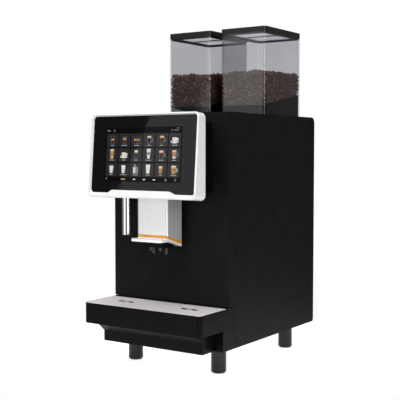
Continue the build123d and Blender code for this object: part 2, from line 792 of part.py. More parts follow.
# Floor: white moulding that closes the head below and carries the finger lip in front.
lip_top = floor_top - lip_drop
with BuildPart() as spout_floor:
    with BuildSketch(Plane.XY.offset(head_low)):
        head_outline(0)
    extrude(amount=head_high - head_low)
    split(bisect_by=slanted(floor_top), keep=Keep.BOTTOM)
    split(bisect_by=slanted(floor_bottom), keep=Keep.TOP)
    lip_back_y = spout_front_y + lip_root
    lip_front_y = spout_front_y - lip_reach
    with BuildSketch(Plane.XY.offset(lip_top - lip_thickness)):
        with Locations((0, (lip_front_y + lip_back_y) / 2)):
            Rectangle(2 * lip_half_width, lip_back_y - lip_front_y)
        fillet(vertices().group_by(Axis.Y)[0], lip_corner)
    extrude(amount=lip_thickness)
spout_floor.part.label = "spout_floor"
export_step(spout_floor.part, "parts/spout_floor.step")

# Outlet block: black manifold under the floor.
outlet_low = chassis + outlet_bottom
with BuildPart() as outlet_block:
    block((-outlet_half_width, outlet_half_width), (door_face - outlet_front,
          door_face - outlet_back), (outlet_low, floor_bottom))
    split(bisect_by=slanted(floor_bottom), keep=Keep.BOTTOM)
outlet_block.part.label = "outlet_block"
export_step(outlet_block.part, "parts/outlet_block.step")

# Nozzles: a short pair for coffee in front and a longer pair for milk behind it.
nozzles = [
    (side * x, door_face - reach, radius, length)
    for x, reach, radius, length in (
        (coffee_nozzle_x, coffee_nozzle_reach, coffee_nozzle_radius, coffee_nozzle_length),
        (milk_nozzle_x, milk_nozzle_reach, milk_nozzle_radius, milk_nozzle_length))
    for side in (-1, 1)
]
with BuildPart() as outlet_nozzles:
    for x, y, radius, length in nozzles:
        column(x, y, radius, (outlet_low - length, outlet_low))
        column(x, y, radius - nozzle_wall, (outlet_low - length, outlet_low), Mode.SUBTRACT)
outlet_nozzles.part.label = "outlet_nozzles"
export_step(outlet_nozzles.part, "parts/outlet_nozzles.step")

# Rail: upright bar screwed to the door; the carriage slides on it.
with BuildPart() as spout_rail:
    block((-rail_half_width, rail_half_width), (door_face - rail_depth, door_face),
          (chassis + rail_bottom, chassis + rail_top))
spout_rail.part.label = "spout_rail"
export_step(spout_rail.part, "parts/spout_rail.step")

# Carriage: block between the cover's sides, with two ears that hold the rail between them.
carriage_levels = (chassis + carriage_bottom, chassis + carriage_top)
carriage_half = spout_half_width - spout_wall
rail_front_y = door_face - rail_depth
with BuildPart() as spout_carriage:
    block((-carriage_half, carriage_half),
          (rail_front_y - running_gap - carriage_depth, rail_front_y - running_gap),
          carriage_levels)
    block((-carriage_ear_half_width, carriage_ear_half_width),
          (rail_front_y - running_gap, door_face - running_gap), carriage_levels)
    block((-rail_half_width - running_gap, rail_half_width + running_gap),
          (rail_front_y - running_gap, door_face), carriage_levels, Mode.SUBTRACT)
spout_carriage.part.label = "spout_carriage"
export_step(spout_carriage.part, "parts/spout_carriage.step")

# Hot-water tube: polished steel, fixed in the housing's floor.
tube_levels = (chassis + water_tube_bottom, chassis + water_tube_bottom + water_tube_length)
with BuildPart() as hot_water_tube:
    column(water_tube_x, tube_y, water_tube_radius, tube_levels)
    column(water_tube_x, tube_y, water_tube_radius - water_tube_wall, tube_levels, Mode.SUBTRACT)
    fillet(hot_water_tube.edges().group_by(Axis.Z)[0], water_tube_wall / 3)
hot_water_tube.part.label = "hot_water_tube"
export_step(hot_water_tube.part, "parts/hot_water_tube.step")

# ---------------------------------------------------------------- bean hoppers
hopper_front_y = door_face + hopper_setback
hopper_middle_y = hopper_front_y + hopper_depth / 2
hopper_seat = body_top + running_gap
lid_seat = body_top + hopper_height
inner_width = hopper_width - 2 * hopper_wall
inner_depth = hopper_depth - 2 * hopper_wall
inner_corner = hopper_corner - hopper_wall
floor_angle = degrees(atan((hopper_floor_rear - hopper_floor_front) / inner_depth))
bean_angle = degrees(atan((bean_rear - bean_front) / inner_depth))
window_width = hopper_width - 2 * lid_border
window_front = hopper_front_y + lid_border
window_back = hopper_front_y + hopper_depth - lid_border
bar_y = hopper_front_y + hopper_depth * lid_bar_share
window_spans = ((window_front, bar_y - lid_bar / 2), (bar_y + lid_bar / 2, window_back))


def sloping(level, angle):
    """Plane at a level over the front of the hopper's inside, rising to the back by an angle."""
    rise = radians(angle)
    return Plane(origin=(0, hopper_front_y + hopper_wall, level), z_dir=(0, -sin(rise), cos(rise)))


def window_panes(growth, middle_x):
    """Outlines of the two lid windows, grown all round."""
    for front, back in window_spans:
        with Locations((middle_x, (front + back) / 2)):
            Rectangle(window_width + 2 * growth, back - front + 2 * growth, mode=Mode.ADD)


for side, name in ((-1, "left"), (1, "right")):
    middle = (side * hopper_centre_x, hopper_middle_y)

    # Clear walls: one moulded tube with round corners
    with BuildPart() as hopper_walls:
        with BuildSketch(Plane.XY.offset(hopper_seat)):
            with Locations(middle):
                RectangleRounded(hopper_width, hopper_depth, hopper_corner)
                RectangleRounded(inner_width, inner_depth, inner_corner, mode=Mode.SUBTRACT)
        extrude(amount=lid_seat - hopper_seat)
    hopper_walls.part.label = f"hopper_walls_{name}"
    export_step(hopper_walls.part, f"parts/hopper_walls_{name}.step")

    # Black base: floor that falls to the front, funnel, and the spigot into the grinder
    with BuildPart() as hopper_base:
        with BuildSketch(Plane.XY.offset(hopper_seat)):
            with Locations(middle):
                RectangleRounded(inner_width, inner_depth, inner_corner)
        extrude(amount=hopper_floor_rear)
        split(bisect_by=sloping(body_top + hopper_floor_front, floor_angle), keep=Keep.BOTTOM)
        column(middle[0], throat_y, spigot_radius, (body_top - spigot_length, hopper_seat))
        column(middle[0], throat_y, throat_radius,
               (body_top - spigot_length, body_top + hopper_floor_rear), Mode.SUBTRACT)
        with Locations((middle[0], throat_y, body_top + funnel_rise + funnel_height / 2)):
            Cone(throat_radius, funnel_radius, funnel_height, mode=Mode.SUBTRACT)
    hopper_base.part.label = f"hopper_base_{name}"
    export_step(hopper_base.part, f"parts/hopper_base_{name}.step")

    # Beans: the fill above the sloping floor
    with BuildPart() as beans:
        with BuildSketch(Plane.XY.offset(hopper_seat)):
            with Locations(middle):
                RectangleRounded(inner_width - 2 * bean_clearance, inner_depth - 2 * bean_clearance,
                                 inner_corner)
        extrude(amount=bean_rear + hopper_floor_rear)
        split(bisect_by=sloping(body_top + bean_front, bean_angle), keep=Keep.BOTTOM)
        split(bisect_by=sloping(body_top + hopper_floor_front + bean_clearance, floor_angle),
              keep=Keep.TOP)
    beans.part.label = f"beans_{name}"
    export_step(beans.part, f"parts/beans_{name}.step")

    # Lid: frame with a lip inside the walls and a bar between its two windows
    with BuildPart() as hopper_lid:
        with BuildSketch(Plane.XY.offset(lid_seat + running_gap)):
            with Locations(middle):
                RectangleRounded(hopper_width, hopper_depth, hopper_corner)
        extrude(amount=lid_height)
        with BuildSketch(Plane.XY.offset(lid_seat + running_gap)):
            with Locations(middle):
                RectangleRounded(inner_width - 2 * lid_clearance, inner_depth - 2 * lid_clearance,
                                 inner_corner - lid_clearance)
                RectangleRounded(inner_width - 2 * (lid_clearance + lid_lip_wall),
                                 inner_depth - 2 * (lid_clearance + lid_lip_wall),
                                 inner_corner - lid_clearance - lid_lip_wall, mode=Mode.SUBTRACT)
        extrude(amount=-lid_lip)
        with BuildSketch(Plane.XY.offset(lid_seat)):
            window_panes(0, middle[0])
        extrude(amount=2 * lid_height, mode=Mode.SUBTRACT)
        with BuildSketch(Plane.XY.offset(lid_seat + running_gap)):
            window_panes(window_ledge, middle[0])
        extrude(amount=window_thickness, mode=Mode.SUBTRACT)
    hopper_lid.part.label = f"hopper_lid_{name}"
    export_step(hopper_lid.part, f"parts/hopper_lid_{name}.step")

    # Lid windows: smoked panes set into the frame from below, flush with its underside
    with BuildPart() as lid_windows:
        with BuildSketch(Plane.XY.offset(lid_seat + running_gap)):
            window_panes(window_ledge, middle[0])
        extrude(amount=window_thickness)
    lid_windows.part.label = f"lid_windows_{name}"
    export_step(lid_windows.part, f"parts/lid_windows_{name}.step")

# ---------------------------------------------------------------- grinders
chamber_bottom = deck_top + motor_height
chamber_top = chamber_bottom + chamber_height
cavity_bottom = chamber_bottom + chamber_wall
for side, name in ((-1, "left"), (1, "right")):
    grinder_x = side * hopper_centre_x

    # Grinder: motor below, burr chamber above it, and a collar up to the top cover
    with BuildPart() as grinder:
        column(grinder_x, throat_y, motor_radius, (deck_top, chamber_bottom))
        column(grinder_x, throat_y, chamber_radius, (chamber_bottom, chamber_top))
        column(grinder_x, throat_y, collar_radius, (chamber_top, body_top - sheet))
        column(grinder_x, throat_y, spigot_radius + spigot_clearance,
               (chamber_top - chamber_wall, body_top), Mode.SUBTRACT)
        column(grinder_x, throat_y, chamber_radius - chamber_wall,
               (cavity_bottom, chamber_top - chamber_wall), Mode.SUBTRACT)
        column(grinder_x, throat_y, burr_shaft_radius + shaft_clearance,
               (cavity_bottom - burr_shaft_length, cavity_bottom), Mode.SUBTRACT)
    grinder.part.label = f"grinder_{name}"
    export_step(grinder.part, f"parts/grinder_{name}.step")

    # Burr: cone with feed flutes on its drive shaft
    with BuildPart() as burr:
        burr_bottom = cavity_bottom + running_gap
        with Locations((grinder_x, throat_y, burr_bottom + burr_height / 2)):
            Cone(burr_radius, burr_radius / 2, burr_height)
        with Locations((grinder_x, throat_y, burr_bottom + burr_height / 2)):
            with PolarLocations(burr_radius, 6):
                Cylinder(burr_shaft_radius / 2, burr_height, mode=Mode.SUBTRACT)
        column(grinder_x, throat_y, burr_shaft_radius,
               (cavity_bottom - burr_shaft_length + running_gap, burr_bottom))
    burr.part.label = f"burr_{name}"
    export_step(burr.part, f"parts/burr_{name}.step")

# ---------------------------------------------------------------- brewing
brewer_low = chassis + brewer_bottom
brewer_top = brewer_low + brewer_height
brewer_y = bulkhead_front - brewer_depth / 2
bore_bottom = brewer_top - brew_bore_depth
with BuildPart() as brew_unit:
    block((-brewer_half_width, brewer_half_width), (bulkhead_front - brewer_depth, bulkhead_front),
          (brewer_low, brewer_top))
    fillet(brew_unit.edges().filter_by(Axis.Z).group_by(Axis.Y)[0], foot_round)
    column(0, brewer_y, brew_bore_radius, (bore_bottom, brewer_top), Mode.SUBTRACT)
    column(0, brewer_y, piston_rod_radius + shaft_clearance, (brewer_low, bore_bottom),
           Mode.SUBTRACT)
brew_unit.part.label = "brew_unit"
export_step(brew_unit.part, "parts/brew_unit.step")

# Brew piston: disc that presses and lifts out the coffee, on a rod through the unit's floor.
with BuildPart() as brew_piston:
    piston_low = bore_bottom + piston_start
    column(0, brewer_y, brew_bore_radius - shaft_clearance, (piston_low, piston_low + piston_height))
    column(0, brewer_y, piston_rod_radius, (brewer_low - piston_rod_radius, piston_low))
brew_piston.part.label = "brew_piston"
export_step(brew_piston.part, "parts/brew_piston.step")

# Coffee chutes: two sloping tubes from the burr chambers down to the brewing bore.
with BuildPart() as coffee_chutes:
    for side in (-1, 1):
        chute_top = Vector(side * hopper_centre_x, throat_y, chamber_bottom + chamber_height / 2)
        chute_end = Vector(side * brew_bore_radius / 2, brewer_y, brewer_top - chute_radius)
        run = chute_end - chute_top
        chute_plane = Plane(origin=chute_top, z_dir=run)
        with BuildSketch(chute_plane):
            Circle(chute_radius)
            Circle(chute_radius - chute_wall, mode=Mode.SUBTRACT)
        extrude(amount=run.length)
    for x, y in hopper_places:
        column(x, y, chamber_radius, (deck_top, body_top), Mode.SUBTRACT)
    block((-brewer_half_width, brewer_half_width), (bulkhead_front - brewer_depth, bulkhead_front),
          (brewer_low, brewer_top), Mode.SUBTRACT)
coffee_chutes.part.label = "coffee_chutes"
export_step(coffee_chutes.part, "parts/coffee_chutes.step")

# Grounds container: open-topped bin on the shelf, taken out through the open door.
with BuildPart() as grounds_container:
    grounds_back = bulkhead_front - panel_gap
    block((-grounds_half_width, grounds_half_width), (grounds_back - grounds_depth, grounds_back),
          (fascia_top, fascia_top + grounds_height))
    fillet(grounds_container.edges().filter_by(Axis.Z), foot_round)
    offset(amount=-grounds_wall, openings=grounds_container.faces().sort_by(Axis.Z)[-1])
grounds_container.part.label = "grounds_container"
export_step(grounds_container.part, "parts/grounds_container.step")

# ---------------------------------------------------------------- water and power
deck_floor = chassis + frame_sheet
boiler_x = boiler_place[0]
boiler_y = door_face + boiler_place[1]
boiler_bottom = deck_floor + boiler_skirt_height
with BuildPart() as boiler:
    column(boiler_x, boiler_y, boiler_radius, (boiler_bottom, boiler_bottom + boiler_height))
    fillet(boiler.edges().filter_by(GeomType.CIRCLE), boiler_dome)
    column(boiler_x, boiler_y, boiler_skirt_radius - boiler_dome / 2,
           (deck_floor, boiler_bottom + boiler_dome))
    ports_low = boiler_bottom + boiler_height - boiler_dome
    with Locations((boiler_x, boiler_y, ports_low + boiler_port_height)):
        with PolarLocations(boiler_radius / 2, 3):
            Cylinder(boiler_port_radius, 2 * boiler_port_height)
boiler.part.label = "boiler"
export_step(boiler.part, "parts/boiler.step")

pump_x = pump_place[0]
pump_y = door_face + pump_place[1]
pump_z = deck_floor + pump_foot_height + pump_motor_radius
with BuildPart() as pump:
    with BuildSketch(Plane.XZ.offset(-pump_y)):
        with Locations((pump_x, pump_z)):
            Circle(pump_motor_radius)
    extrude(amount=-pump_motor_length)
    with BuildSketch(Plane.XZ.offset(-pump_y - pump_motor_length)):
        with Locations((pump_x, pump_z)):
            Circle(pump_head_radius)
    extrude(amount=-pump_head_length)
    block((pump_x - pump_head_radius, pump_x + pump_head_radius),
          (pump_y, pump_y + pump_motor_length), (deck_floor, pump_z - pump_head_radius))
pump.part.label = "pump"
export_step(pump.part, "parts/pump.step")

supply_y = door_face + supply_place[1]
with BuildPart() as power_supply:
    block((supply_place[0] - supply_size[0] / 2, supply_place[0] + supply_size[0] / 2),
          (supply_y - supply_size[1] / 2, supply_y + supply_size[1] / 2),
          (deck_floor, deck_floor + supply_size[2]))
    with BuildSketch(Plane.XZ.offset(-(supply_y - supply_size[1] / 2))):
        with Locations((supply_place[0], deck_floor + supply_size[2] / 2)):
            with GridLocations(0, vent_pitch, 1, vent_rows):
                SlotOverall(vent_length, vent_width)
    extrude(amount=-sheet, mode=Mode.SUBTRACT)
power_supply.part.label = "power_supply"
export_step(power_supply.part, "parts/power_supply.step")

# Control board: circuit board on four posts behind the bulkhead, with relays and a heat sink.
board_z = chassis + board_rise
board_front = bulkhead_back + board_standoff
board_back = board_front + board_thickness
with BuildPart() as control_board:
    with BuildSketch(Plane.XZ.offset(-board_front)):
        with Locations((board_x, board_z)):
            RectangleRounded(*board_size, foot_round)
    extrude(amount=-board_thickness)
    with BuildSketch(Plane.XZ.offset(-bulkhead_back)):
        with Locations((board_x, board_z)):
            with GridLocations(board_size[0] - board_standoff, board_size[1] - board_standoff, 2, 2):
                Circle(board_standoff / 3)
    extrude(amount=-board_standoff)
    with BuildSketch(Plane.XZ.offset(-board_back)):
        with Locations((board_x, board_z + board_size[1] / 4)):
            with GridLocations(board_parts_depth * 2, 0, 4, 1):
                Rectangle(board_parts_depth, board_parts_depth * 1.5)
        with Locations((board_x, board_z - board_size[1] / 4)):
            Rectangle(board_size[0] * 0.6, board_parts_depth)
    extrude(amount=-board_parts_depth)
control_board.part.label = "control_board"
export_step(control_board.part, "parts/control_board.step")

# Fan: square housing on the back cover, with a pin that the rotor spins on.
fan_x = fan_place[0]
fan_z = chassis + fan_place[1]
fan_back_y = back_face - sheet
fan_front_y = fan_back_y - fan_depth
fan_plane = Plane(origin=(fan_x, fan_front_y, fan_z), x_dir=(1, 0, 0), z_dir=(0, 1, 0))
rotor_length = fan_depth - 2 * vent_width
with BuildPart() as fan_housing:
    with BuildSketch(fan_plane):
        RectangleRounded(fan_size, fan_size, foot_round)
        Circle(fan_bore, mode=Mode.SUBTRACT)
    extrude(amount=fan_depth)
    with BuildSketch(fan_plane):
        Circle(fan_hub_radius)
        Rectangle(fan_size - foot_round, vent_width)
        Rectangle(vent_width, fan_size - foot_round)
    extrude(amount=vent_width - running_gap)
    with BuildSketch(fan_plane):
        Circle(fan_shaft_radius)
    extrude(amount=fan_depth - vent_width)
fan_housing.part.label = "fan_housing"
export_step(fan_housing.part, "parts/fan_housing.step")

with BuildPart() as fan_rotor:
    with BuildSketch(fan_plane.offset(vent_width)):
        Circle(fan_hub_radius)
    extrude(amount=rotor_length)
    blade_length = fan_blade_radius - fan_hub_radius + fan_shaft_radius
    blade_middle = fan_blade_radius - blade_length / 2
    blade_plane = fan_plane.offset(vent_width + rotor_length / 2)
    for blade in range(fan_blades):
        turn = Rotation(0, 0, blade * 360 / fan_blades)
        with Locations(blade_plane.location * turn * Location((blade_middle, 0, 0))):
            Box(blade_length, fan_blade_thickness, fan_blade_width,
                rotation=(fan_blade_pitch, 0, 0))
    with BuildSketch(fan_plane.offset(vent_width)):
        Circle(fan_shaft_radius + shaft_clearance)
    extrude(amount=rotor_length, mode=Mode.SUBTRACT)
fan_rotor.part.label = "fan_rotor"
export_step(fan_rotor.part, "parts/fan_rotor.step")

# Mains inlet: appliance socket set through the back cover from inside.
with BuildPart() as mains_inlet:
    with BuildSketch(Plane.XZ.offset(-back_face)):
        with Locations((inlet_place[0], chassis + inlet_place[1])):
            Rectangle(*inlet_size)
    extrude(amount=inlet_depth)
    with BuildSketch(Plane.XZ.offset(-(back_face - sheet))):
        with Locations((inlet_place[0], chassis + inlet_place[1])):
            Rectangle(inlet_size[0] + 2 * inlet_flange, inlet_size[1] + 2 * inlet_flange)
    extrude(amount=inlet_flange / 2)
    with BuildSketch(Plane.XZ.offset(-back_face)):
        with Locations((inlet_place[0], chassis + inlet_place[1])):
            Rectangle(inlet_socket[0], inlet_socket[1])
    extrude(amount=inlet_socket[2], mode=Mode.SUBTRACT)
mains_inlet.part.label = "mains_inlet"
export_step(mains_inlet.part, "parts/mains_inlet.step")

# Power switch: frame with a pin across it, and the rocker that tilts on the pin.
switch_x = switch_place[0]
switch_z = chassis + switch_place[1]
switch_pin_y = back_face - switch_pin_setback
switch_inner = (switch_size[0] - 2 * switch_wall, switch_size[1] - 2 * switch_wall)
with BuildPart() as power_switch:
    with BuildSketch(Plane.XZ.offset(-back_face)):
        with Locations((switch_x, switch_z)):
            Rectangle(*switch_size)
    extrude(amount=switch_depth)
    with BuildSketch(Plane.XZ.offset(-back_face)):
        with Locations((switch_x, switch_z)):
            Rectangle(*switch_inner)
    extrude(amount=switch_depth - switch_wall, mode=Mode.SUBTRACT)
    with BuildSketch(Plane.YZ.offset(switch_x)):
        with Locations((switch_pin_y, switch_z)):
            Circle(switch_pin_radius)
    extrude(amount=switch_size[0] / 2, both=True)
power_switch.part.label = "power_switch"
export_step(power_switch.part, "parts/power_switch.step")

rocker_half = switch_inner[1] / 2 - rocker_clearance
rocker_back = switch_pin_y + switch_pin_setback - rocker_hollow
with BuildPart() as switch_rocker:
    with BuildSketch(Plane.YZ.offset(switch_x)):
        with BuildLine():
            Polyline((rocker_back - rocker_hollow, switch_z),
                     (rocker_back, switch_z + rocker_half),
                     (switch_pin_y - rocker_depth / 2, switch_z + rocker_half / 2),
                     (switch_pin_y - rocker_depth / 2, switch_z - rocker_half / 2),
                     (rocker_back, switch_z - rocker_half), close=True)
        make_face()
        with Locations((switch_pin_y, switch_z)):
            Circle(switch_pin_radius + shaft_clearance, mode=Mode.SUBTRACT)
    extrude(amount=switch_inner[0] / 2 - running_gap, both=True)
switch_rocker.part.label = "switch_rocker"
export_step(switch_rocker.part, "parts/switch_rocker.step")

# Water fittings: inlet and drain stubs under the base pan, each with a slimmer neck that passes
# through the pan and a nut that clamps it from above.
for name, x, radius, length in (
    ("water_inlet", water_inlet_x, water_inlet_radius, water_inlet_length),
    ("drain_spigot", drain_x, drain_radius, drain_length),
):
    fitting_y = door_face + connector_setback
    with BuildPart() as fitting:
        column(x, fitting_y, radius, (chassis - length, chassis))
        column(x, fitting_y, radius - fitting_shoulder, (chassis, deck_floor))
        with BuildSketch(Plane.XY.offset(deck_floor)):
            with Locations((x, fitting_y)):
                RegularPolygon(fitting_nut_radius, 6)
        extrude(amount=fitting_nut_height)
        column(x, fitting_y, radius - fitting_wall, (chassis - length, deck_floor + fitting_nut_height),
               Mode.SUBTRACT)
    fitting.part.label = name
    export_step(fitting.part, f"parts/{name}.step")
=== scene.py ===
"""Looks of a countertop self-service coffee machine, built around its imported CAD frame.

The casing, door, outlet and works are the CAD nodes with their real finishes. The screen picture,
the cup grid and the coffee beans are modelled here. Everything is in metres, +Z up, front to -Y.
"""

import math
import random

import bmesh
import bpy
from mathutils import Matrix, Vector


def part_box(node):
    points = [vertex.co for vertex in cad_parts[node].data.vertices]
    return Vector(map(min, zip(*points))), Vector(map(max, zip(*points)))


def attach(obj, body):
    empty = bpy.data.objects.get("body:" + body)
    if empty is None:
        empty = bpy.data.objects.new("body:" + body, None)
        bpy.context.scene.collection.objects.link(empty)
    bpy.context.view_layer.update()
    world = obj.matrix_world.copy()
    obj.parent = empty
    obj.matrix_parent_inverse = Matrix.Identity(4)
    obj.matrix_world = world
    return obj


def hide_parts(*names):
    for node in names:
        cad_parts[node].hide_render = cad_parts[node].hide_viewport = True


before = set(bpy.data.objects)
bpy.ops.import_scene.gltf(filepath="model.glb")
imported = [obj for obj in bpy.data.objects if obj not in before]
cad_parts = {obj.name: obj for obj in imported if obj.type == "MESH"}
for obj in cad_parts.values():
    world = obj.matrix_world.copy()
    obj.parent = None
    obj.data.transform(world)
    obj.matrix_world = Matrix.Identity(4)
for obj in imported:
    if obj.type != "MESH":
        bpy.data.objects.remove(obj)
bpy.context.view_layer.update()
bpy.ops.object.select_all(action="DESELECT")

# ---------------------------------------------------------------- casing
# The cabinet is folded sheet steel with a matt black powder coat that feels like fine sandpaper.
# Its panels meet in narrow seams, and the same coat covers the door's two steel shells.


def finish(name, color, roughness, metallic=0.0, coat=0.0, specular=0.5):
    """A new material with one Principled shader. Returns it, its node tree, the shader and the place."""
    made = bpy.data.materials.new(name)
    made.use_nodes = True
    tree = made.node_tree
    shader = tree.nodes["Principled BSDF"]
    shader.inputs["Base Color"].default_value = (*color, 1.0)
    shader.inputs["Roughness"].default_value = roughness
    shader.inputs["Metallic"].default_value = metallic
    shader.inputs["Coat Weight"].default_value = coat
    shader.inputs["Coat Roughness"].default_value = 0.04
    shader.inputs["Specular IOR Level"].default_value = specular
    place = tree.nodes.new("ShaderNodeTexCoord").outputs["Object"]
    return made, tree, shader, place


def noise(tree, place, scale, stretch=(1.0, 1.0, 1.0), detail=3.0):
    """Cloudy noise with about this many blobs per metre, squeezed along each axis by stretch."""
    mapping = tree.nodes.new("ShaderNodeMapping")
    mapping.inputs["Scale"].default_value = stretch
    tree.links.new(place, mapping.inputs["Vector"])
    cloud = tree.nodes.new("ShaderNodeTexNoise")
    cloud.inputs["Scale"].default_value = scale
    cloud.inputs["Detail"].default_value = detail
    tree.links.new(mapping.outputs["Vector"], cloud.inputs["Vector"])
    return cloud.outputs["Fac"]


def tint(tree, shader, amount, stops, socket="Base Color"):
    """Colour the shader along a ramp of (place, colour) stops."""
    ramp = tree.nodes.new("ShaderNodeValToRGB")
    while len(ramp.color_ramp.elements) < len(stops):
        ramp.color_ramp.elements.new(0.5)
    for element, (where, color) in zip(ramp.color_ramp.elements, stops):
        element.position = where
        element.color = (*color, 1.0)
    tree.links.new(amount, ramp.inputs["Fac"])
    tree.links.new(ramp.outputs["Color"], shader.inputs[socket])


def span(tree, shader, amount, low, high, socket="Roughness"):
    """Let one of the shader's numbers run from low to high with the amount."""
    reach = tree.nodes.new("ShaderNodeMapRange")
    reach.inputs["From Min"].default_value = 0.3
    reach.inputs["From Max"].default_value = 0.7
    reach.inputs["To Min"].default_value = low
    reach.inputs["To Max"].default_value = high
    tree.links.new(amount, reach.inputs["Value"])
    tree.links.new(reach.outputs["Result"], shader.inputs[socket])


def emboss(tree, shader, height, depth, strength=0.5):
    """Raise the surface by depth metres where the height is one."""
    bump = tree.nodes.new("ShaderNodeBump")
    bump.inputs["Distance"].default_value = depth
    bump.inputs["Strength"].default_value = strength
    tree.links.new(height, bump.inputs["Height"])
    tree.links.new(bump.outputs["Normal"], shader.inputs["Normal"])


def dress(material, *names):
    """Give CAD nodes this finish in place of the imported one."""
    for name in names:
        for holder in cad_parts[name].material_slots:
            holder.material = material


powder_coat, tree, shader, place = finish("powder_coat", (0.0065, 0.0065, 0.0075), 0.55, specular=0.08)
tint(tree, shader, noise(tree, place, 30.0),
     [(0.35, (0.006, 0.006, 0.007)), (0.65, (0.008, 0.008, 0.009))])
span(tree, shader, noise(tree, place, 18.0), 0.52, 0.6)
emboss(tree, shader, noise(tree, place, 2600.0), 0.00006, 0.35)
dress(powder_coat, "left_side_panel", "right_side_panel", "grip_covers", "top_cover", "rear_cover",
      "lower_fascia", "door_shell")

# ---------------------------------------------------------------- chassis and inner sheets
# The base pan, front frame, bulkhead, grinder deck and hinges are galvanised sheet steel.
# The zinc has frozen in large flat crystals, each a slightly different grey.

galvanised, tree, shader, place = finish("galvanised_sheet", (0.5, 0.51, 0.52), 0.38, metallic=1.0)
crystals = tree.nodes.new("ShaderNodeTexVoronoi")
crystals.inputs["Scale"].default_value = 90.0
tree.links.new(place, crystals.inputs["Vector"])
tint(tree, shader, crystals.outputs["Color"], [(0.0, (0.38, 0.39, 0.40)), (1.0, (0.62, 0.63, 0.64))])
span(tree, shader, crystals.outputs["Color"], 0.3, 0.45)
dress(galvanised, "base_pan", "front_frame", "bulkhead", "grinder_deck", "hinge_lower", "hinge_upper")

# ---------------------------------------------------------------- black mouldings
# The drip tray, its support, the outlet block, the slide and the hopper lids are moulded in black
# plastic with a fine spark-eroded grain that keeps a soft sheen.

moulding, tree, shader, place = finish("black_moulding", (0.004, 0.004, 0.0042), 0.36, specular=0.06)
tint(tree, shader, noise(tree, place, 24.0),
     [(0.35, (0.0026, 0.0026, 0.0028)), (0.65, (0.0036, 0.0036, 0.0038))])
span(tree, shader, noise(tree, place, 40.0), 0.33, 0.41)
emboss(tree, shader, noise(tree, place, 1800.0), 0.00003, 0.3)
dress(moulding, "drip_tray", "tray_support", "outlet_block", "spout_rail", "spout_carriage",
      "door_liner", "display_housing", "hopper_base_left", "hopper_base_right", "grounds_container")

# ---------------------------------------------------------------- feet
# Each foot is a turned post in polished black plastic over a pressed-in rubber pad.
# Dust settles in the pad's dull surface, while the post mirrors the table.

foot_gloss, tree, shader, place = finish("foot_gloss", (0.0025, 0.0025, 0.0028), 0.12, specular=0.3)
span(tree, shader, noise(tree, place, 60.0), 0.09, 0.14)
dress(foot_gloss, "feet")
rubber, tree, shader, place = finish("rubber", (0.02, 0.02, 0.02), 0.8, specular=0.3)
tint(tree, shader, noise(tree, place, 70.0), [(0.3, (0.014, 0.014, 0.014)), (0.7, (0.03, 0.03, 0.029))])
emboss(tree, shader, noise(tree, place, 900.0), 0.0001, 0.4)
dress(rubber, "foot_pads")

# ---------------------------------------------------------------- display frame
# The screen sits in a thick frame of white ABS, moulded to a high gloss and left unpainted.
# Long use leaves very slight ripples and a few duller patches scattered over it.

white_abs, tree, shader, place = finish("white_abs", (0.86, 0.865, 0.87), 0.16, coat=0.35)
tint(tree, shader, noise(tree, place, 9.0), [(0.3, (0.845, 0.85, 0.855)), (0.7, (0.875, 0.88, 0.885))])
span(tree, shader, noise(tree, place, 26.0), 0.13, 0.2)
emboss(tree, shader, noise(tree, place, 45.0), 0.00002, 0.25)
dress(white_abs, "display_frame", "spout_floor")

# ---------------------------------------------------------------- touch glass
# One sheet of toughened glass covers the whole recess. It is printed black on its back, and
# finger marks leave it a little duller in cloudy patches.

touch_glass, tree, shader, place = finish("touch_glass", (0.0012, 0.0012, 0.0013), 0.035, specular=0.25)
span(tree, shader, noise(tree, place, 55.0), 0.025, 0.06)
dress(touch_glass, "display_glass")

# ---------------------------------------------------------------- screen picture
# The menu that the lit panel shows through the glass: a status bar, three rows of six drinks and a
# row of small controls. It is laid on the glass as a film, and each drink is a few flat shapes.

picture_width = 0.222
picture_height = 0.128
picture_rise = 0.00005  # middle of the picture above the middle of the glass
film = 0.00002  # thickness of each printed layer
layer = 0.00004  # from one layer to the next


def facing(node):
    """The faces and outward normal of a CAD node's largest set of forward-looking faces that share one
    normal.
    """
    flats = {}
    for face in node.data.polygons:
        if face.normal.y < -0.9:
            key = tuple(round(part, 3) for part in face.normal)
            flats[key] = flats.get(key, 0.0) + face.area
    key = max(flats, key=flats.get)
    same = [f for f in node.data.polygons if tuple(round(part, 3) for part in f.normal) == key]
    return same, Vector(key).normalized()


glass_faces, outward = facing(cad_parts["display_glass"])
upward = Vector((1.0, 0.0, 0.0)).cross(-outward).normalized()
glass_points = [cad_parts["display_glass"].data.vertices[i].co for f in glass_faces for i in f.vertices]
glass_low = min(upward.dot(point) for point in glass_points)
glass_high = max(upward.dot(point) for point in glass_points)
glass_plane = max(outward.dot(point) for point in glass_points)
picture_middle = outward * glass_plane + upward * ((glass_low + glass_high) / 2 + picture_rise)
on_glass = Matrix.Translation(picture_middle) @ Matrix(
    (Vector((1.0, 0.0, 0.0)), upward, outward)).transposed().to_4x4()


def glow(name, color, strength=1.0, specular=0.2):
    """A lit part of the picture, as glossy as the glass over it, with the panel's fine grid of dots."""
    made, tree, shader, place = finish(name, (0.002, 0.002, 0.002), 0.035, specular=specular)
    shader.inputs["Emission Strength"].default_value = strength
    dim = tuple(0.93 * part for part in color)
    tint(tree, shader, noise(tree, place, 1400.0), [(0.4, dim), (0.6, color)], "Emission Color")
    return made


def flat(points, height, material):
    """A flat shape on the picture. Points run anticlockwise in metres, height counts layers."""
    mesh = bpy.data.meshes.new("shape")
    mesh.from_pydata([(x, y, height * layer) for x, y in points], [], [range(len(points))])
    mesh.materials.append(material)
    shape = bpy.data.objects.new("shape", mesh)
    bpy.context.scene.collection.objects.link(shape)
    return shape


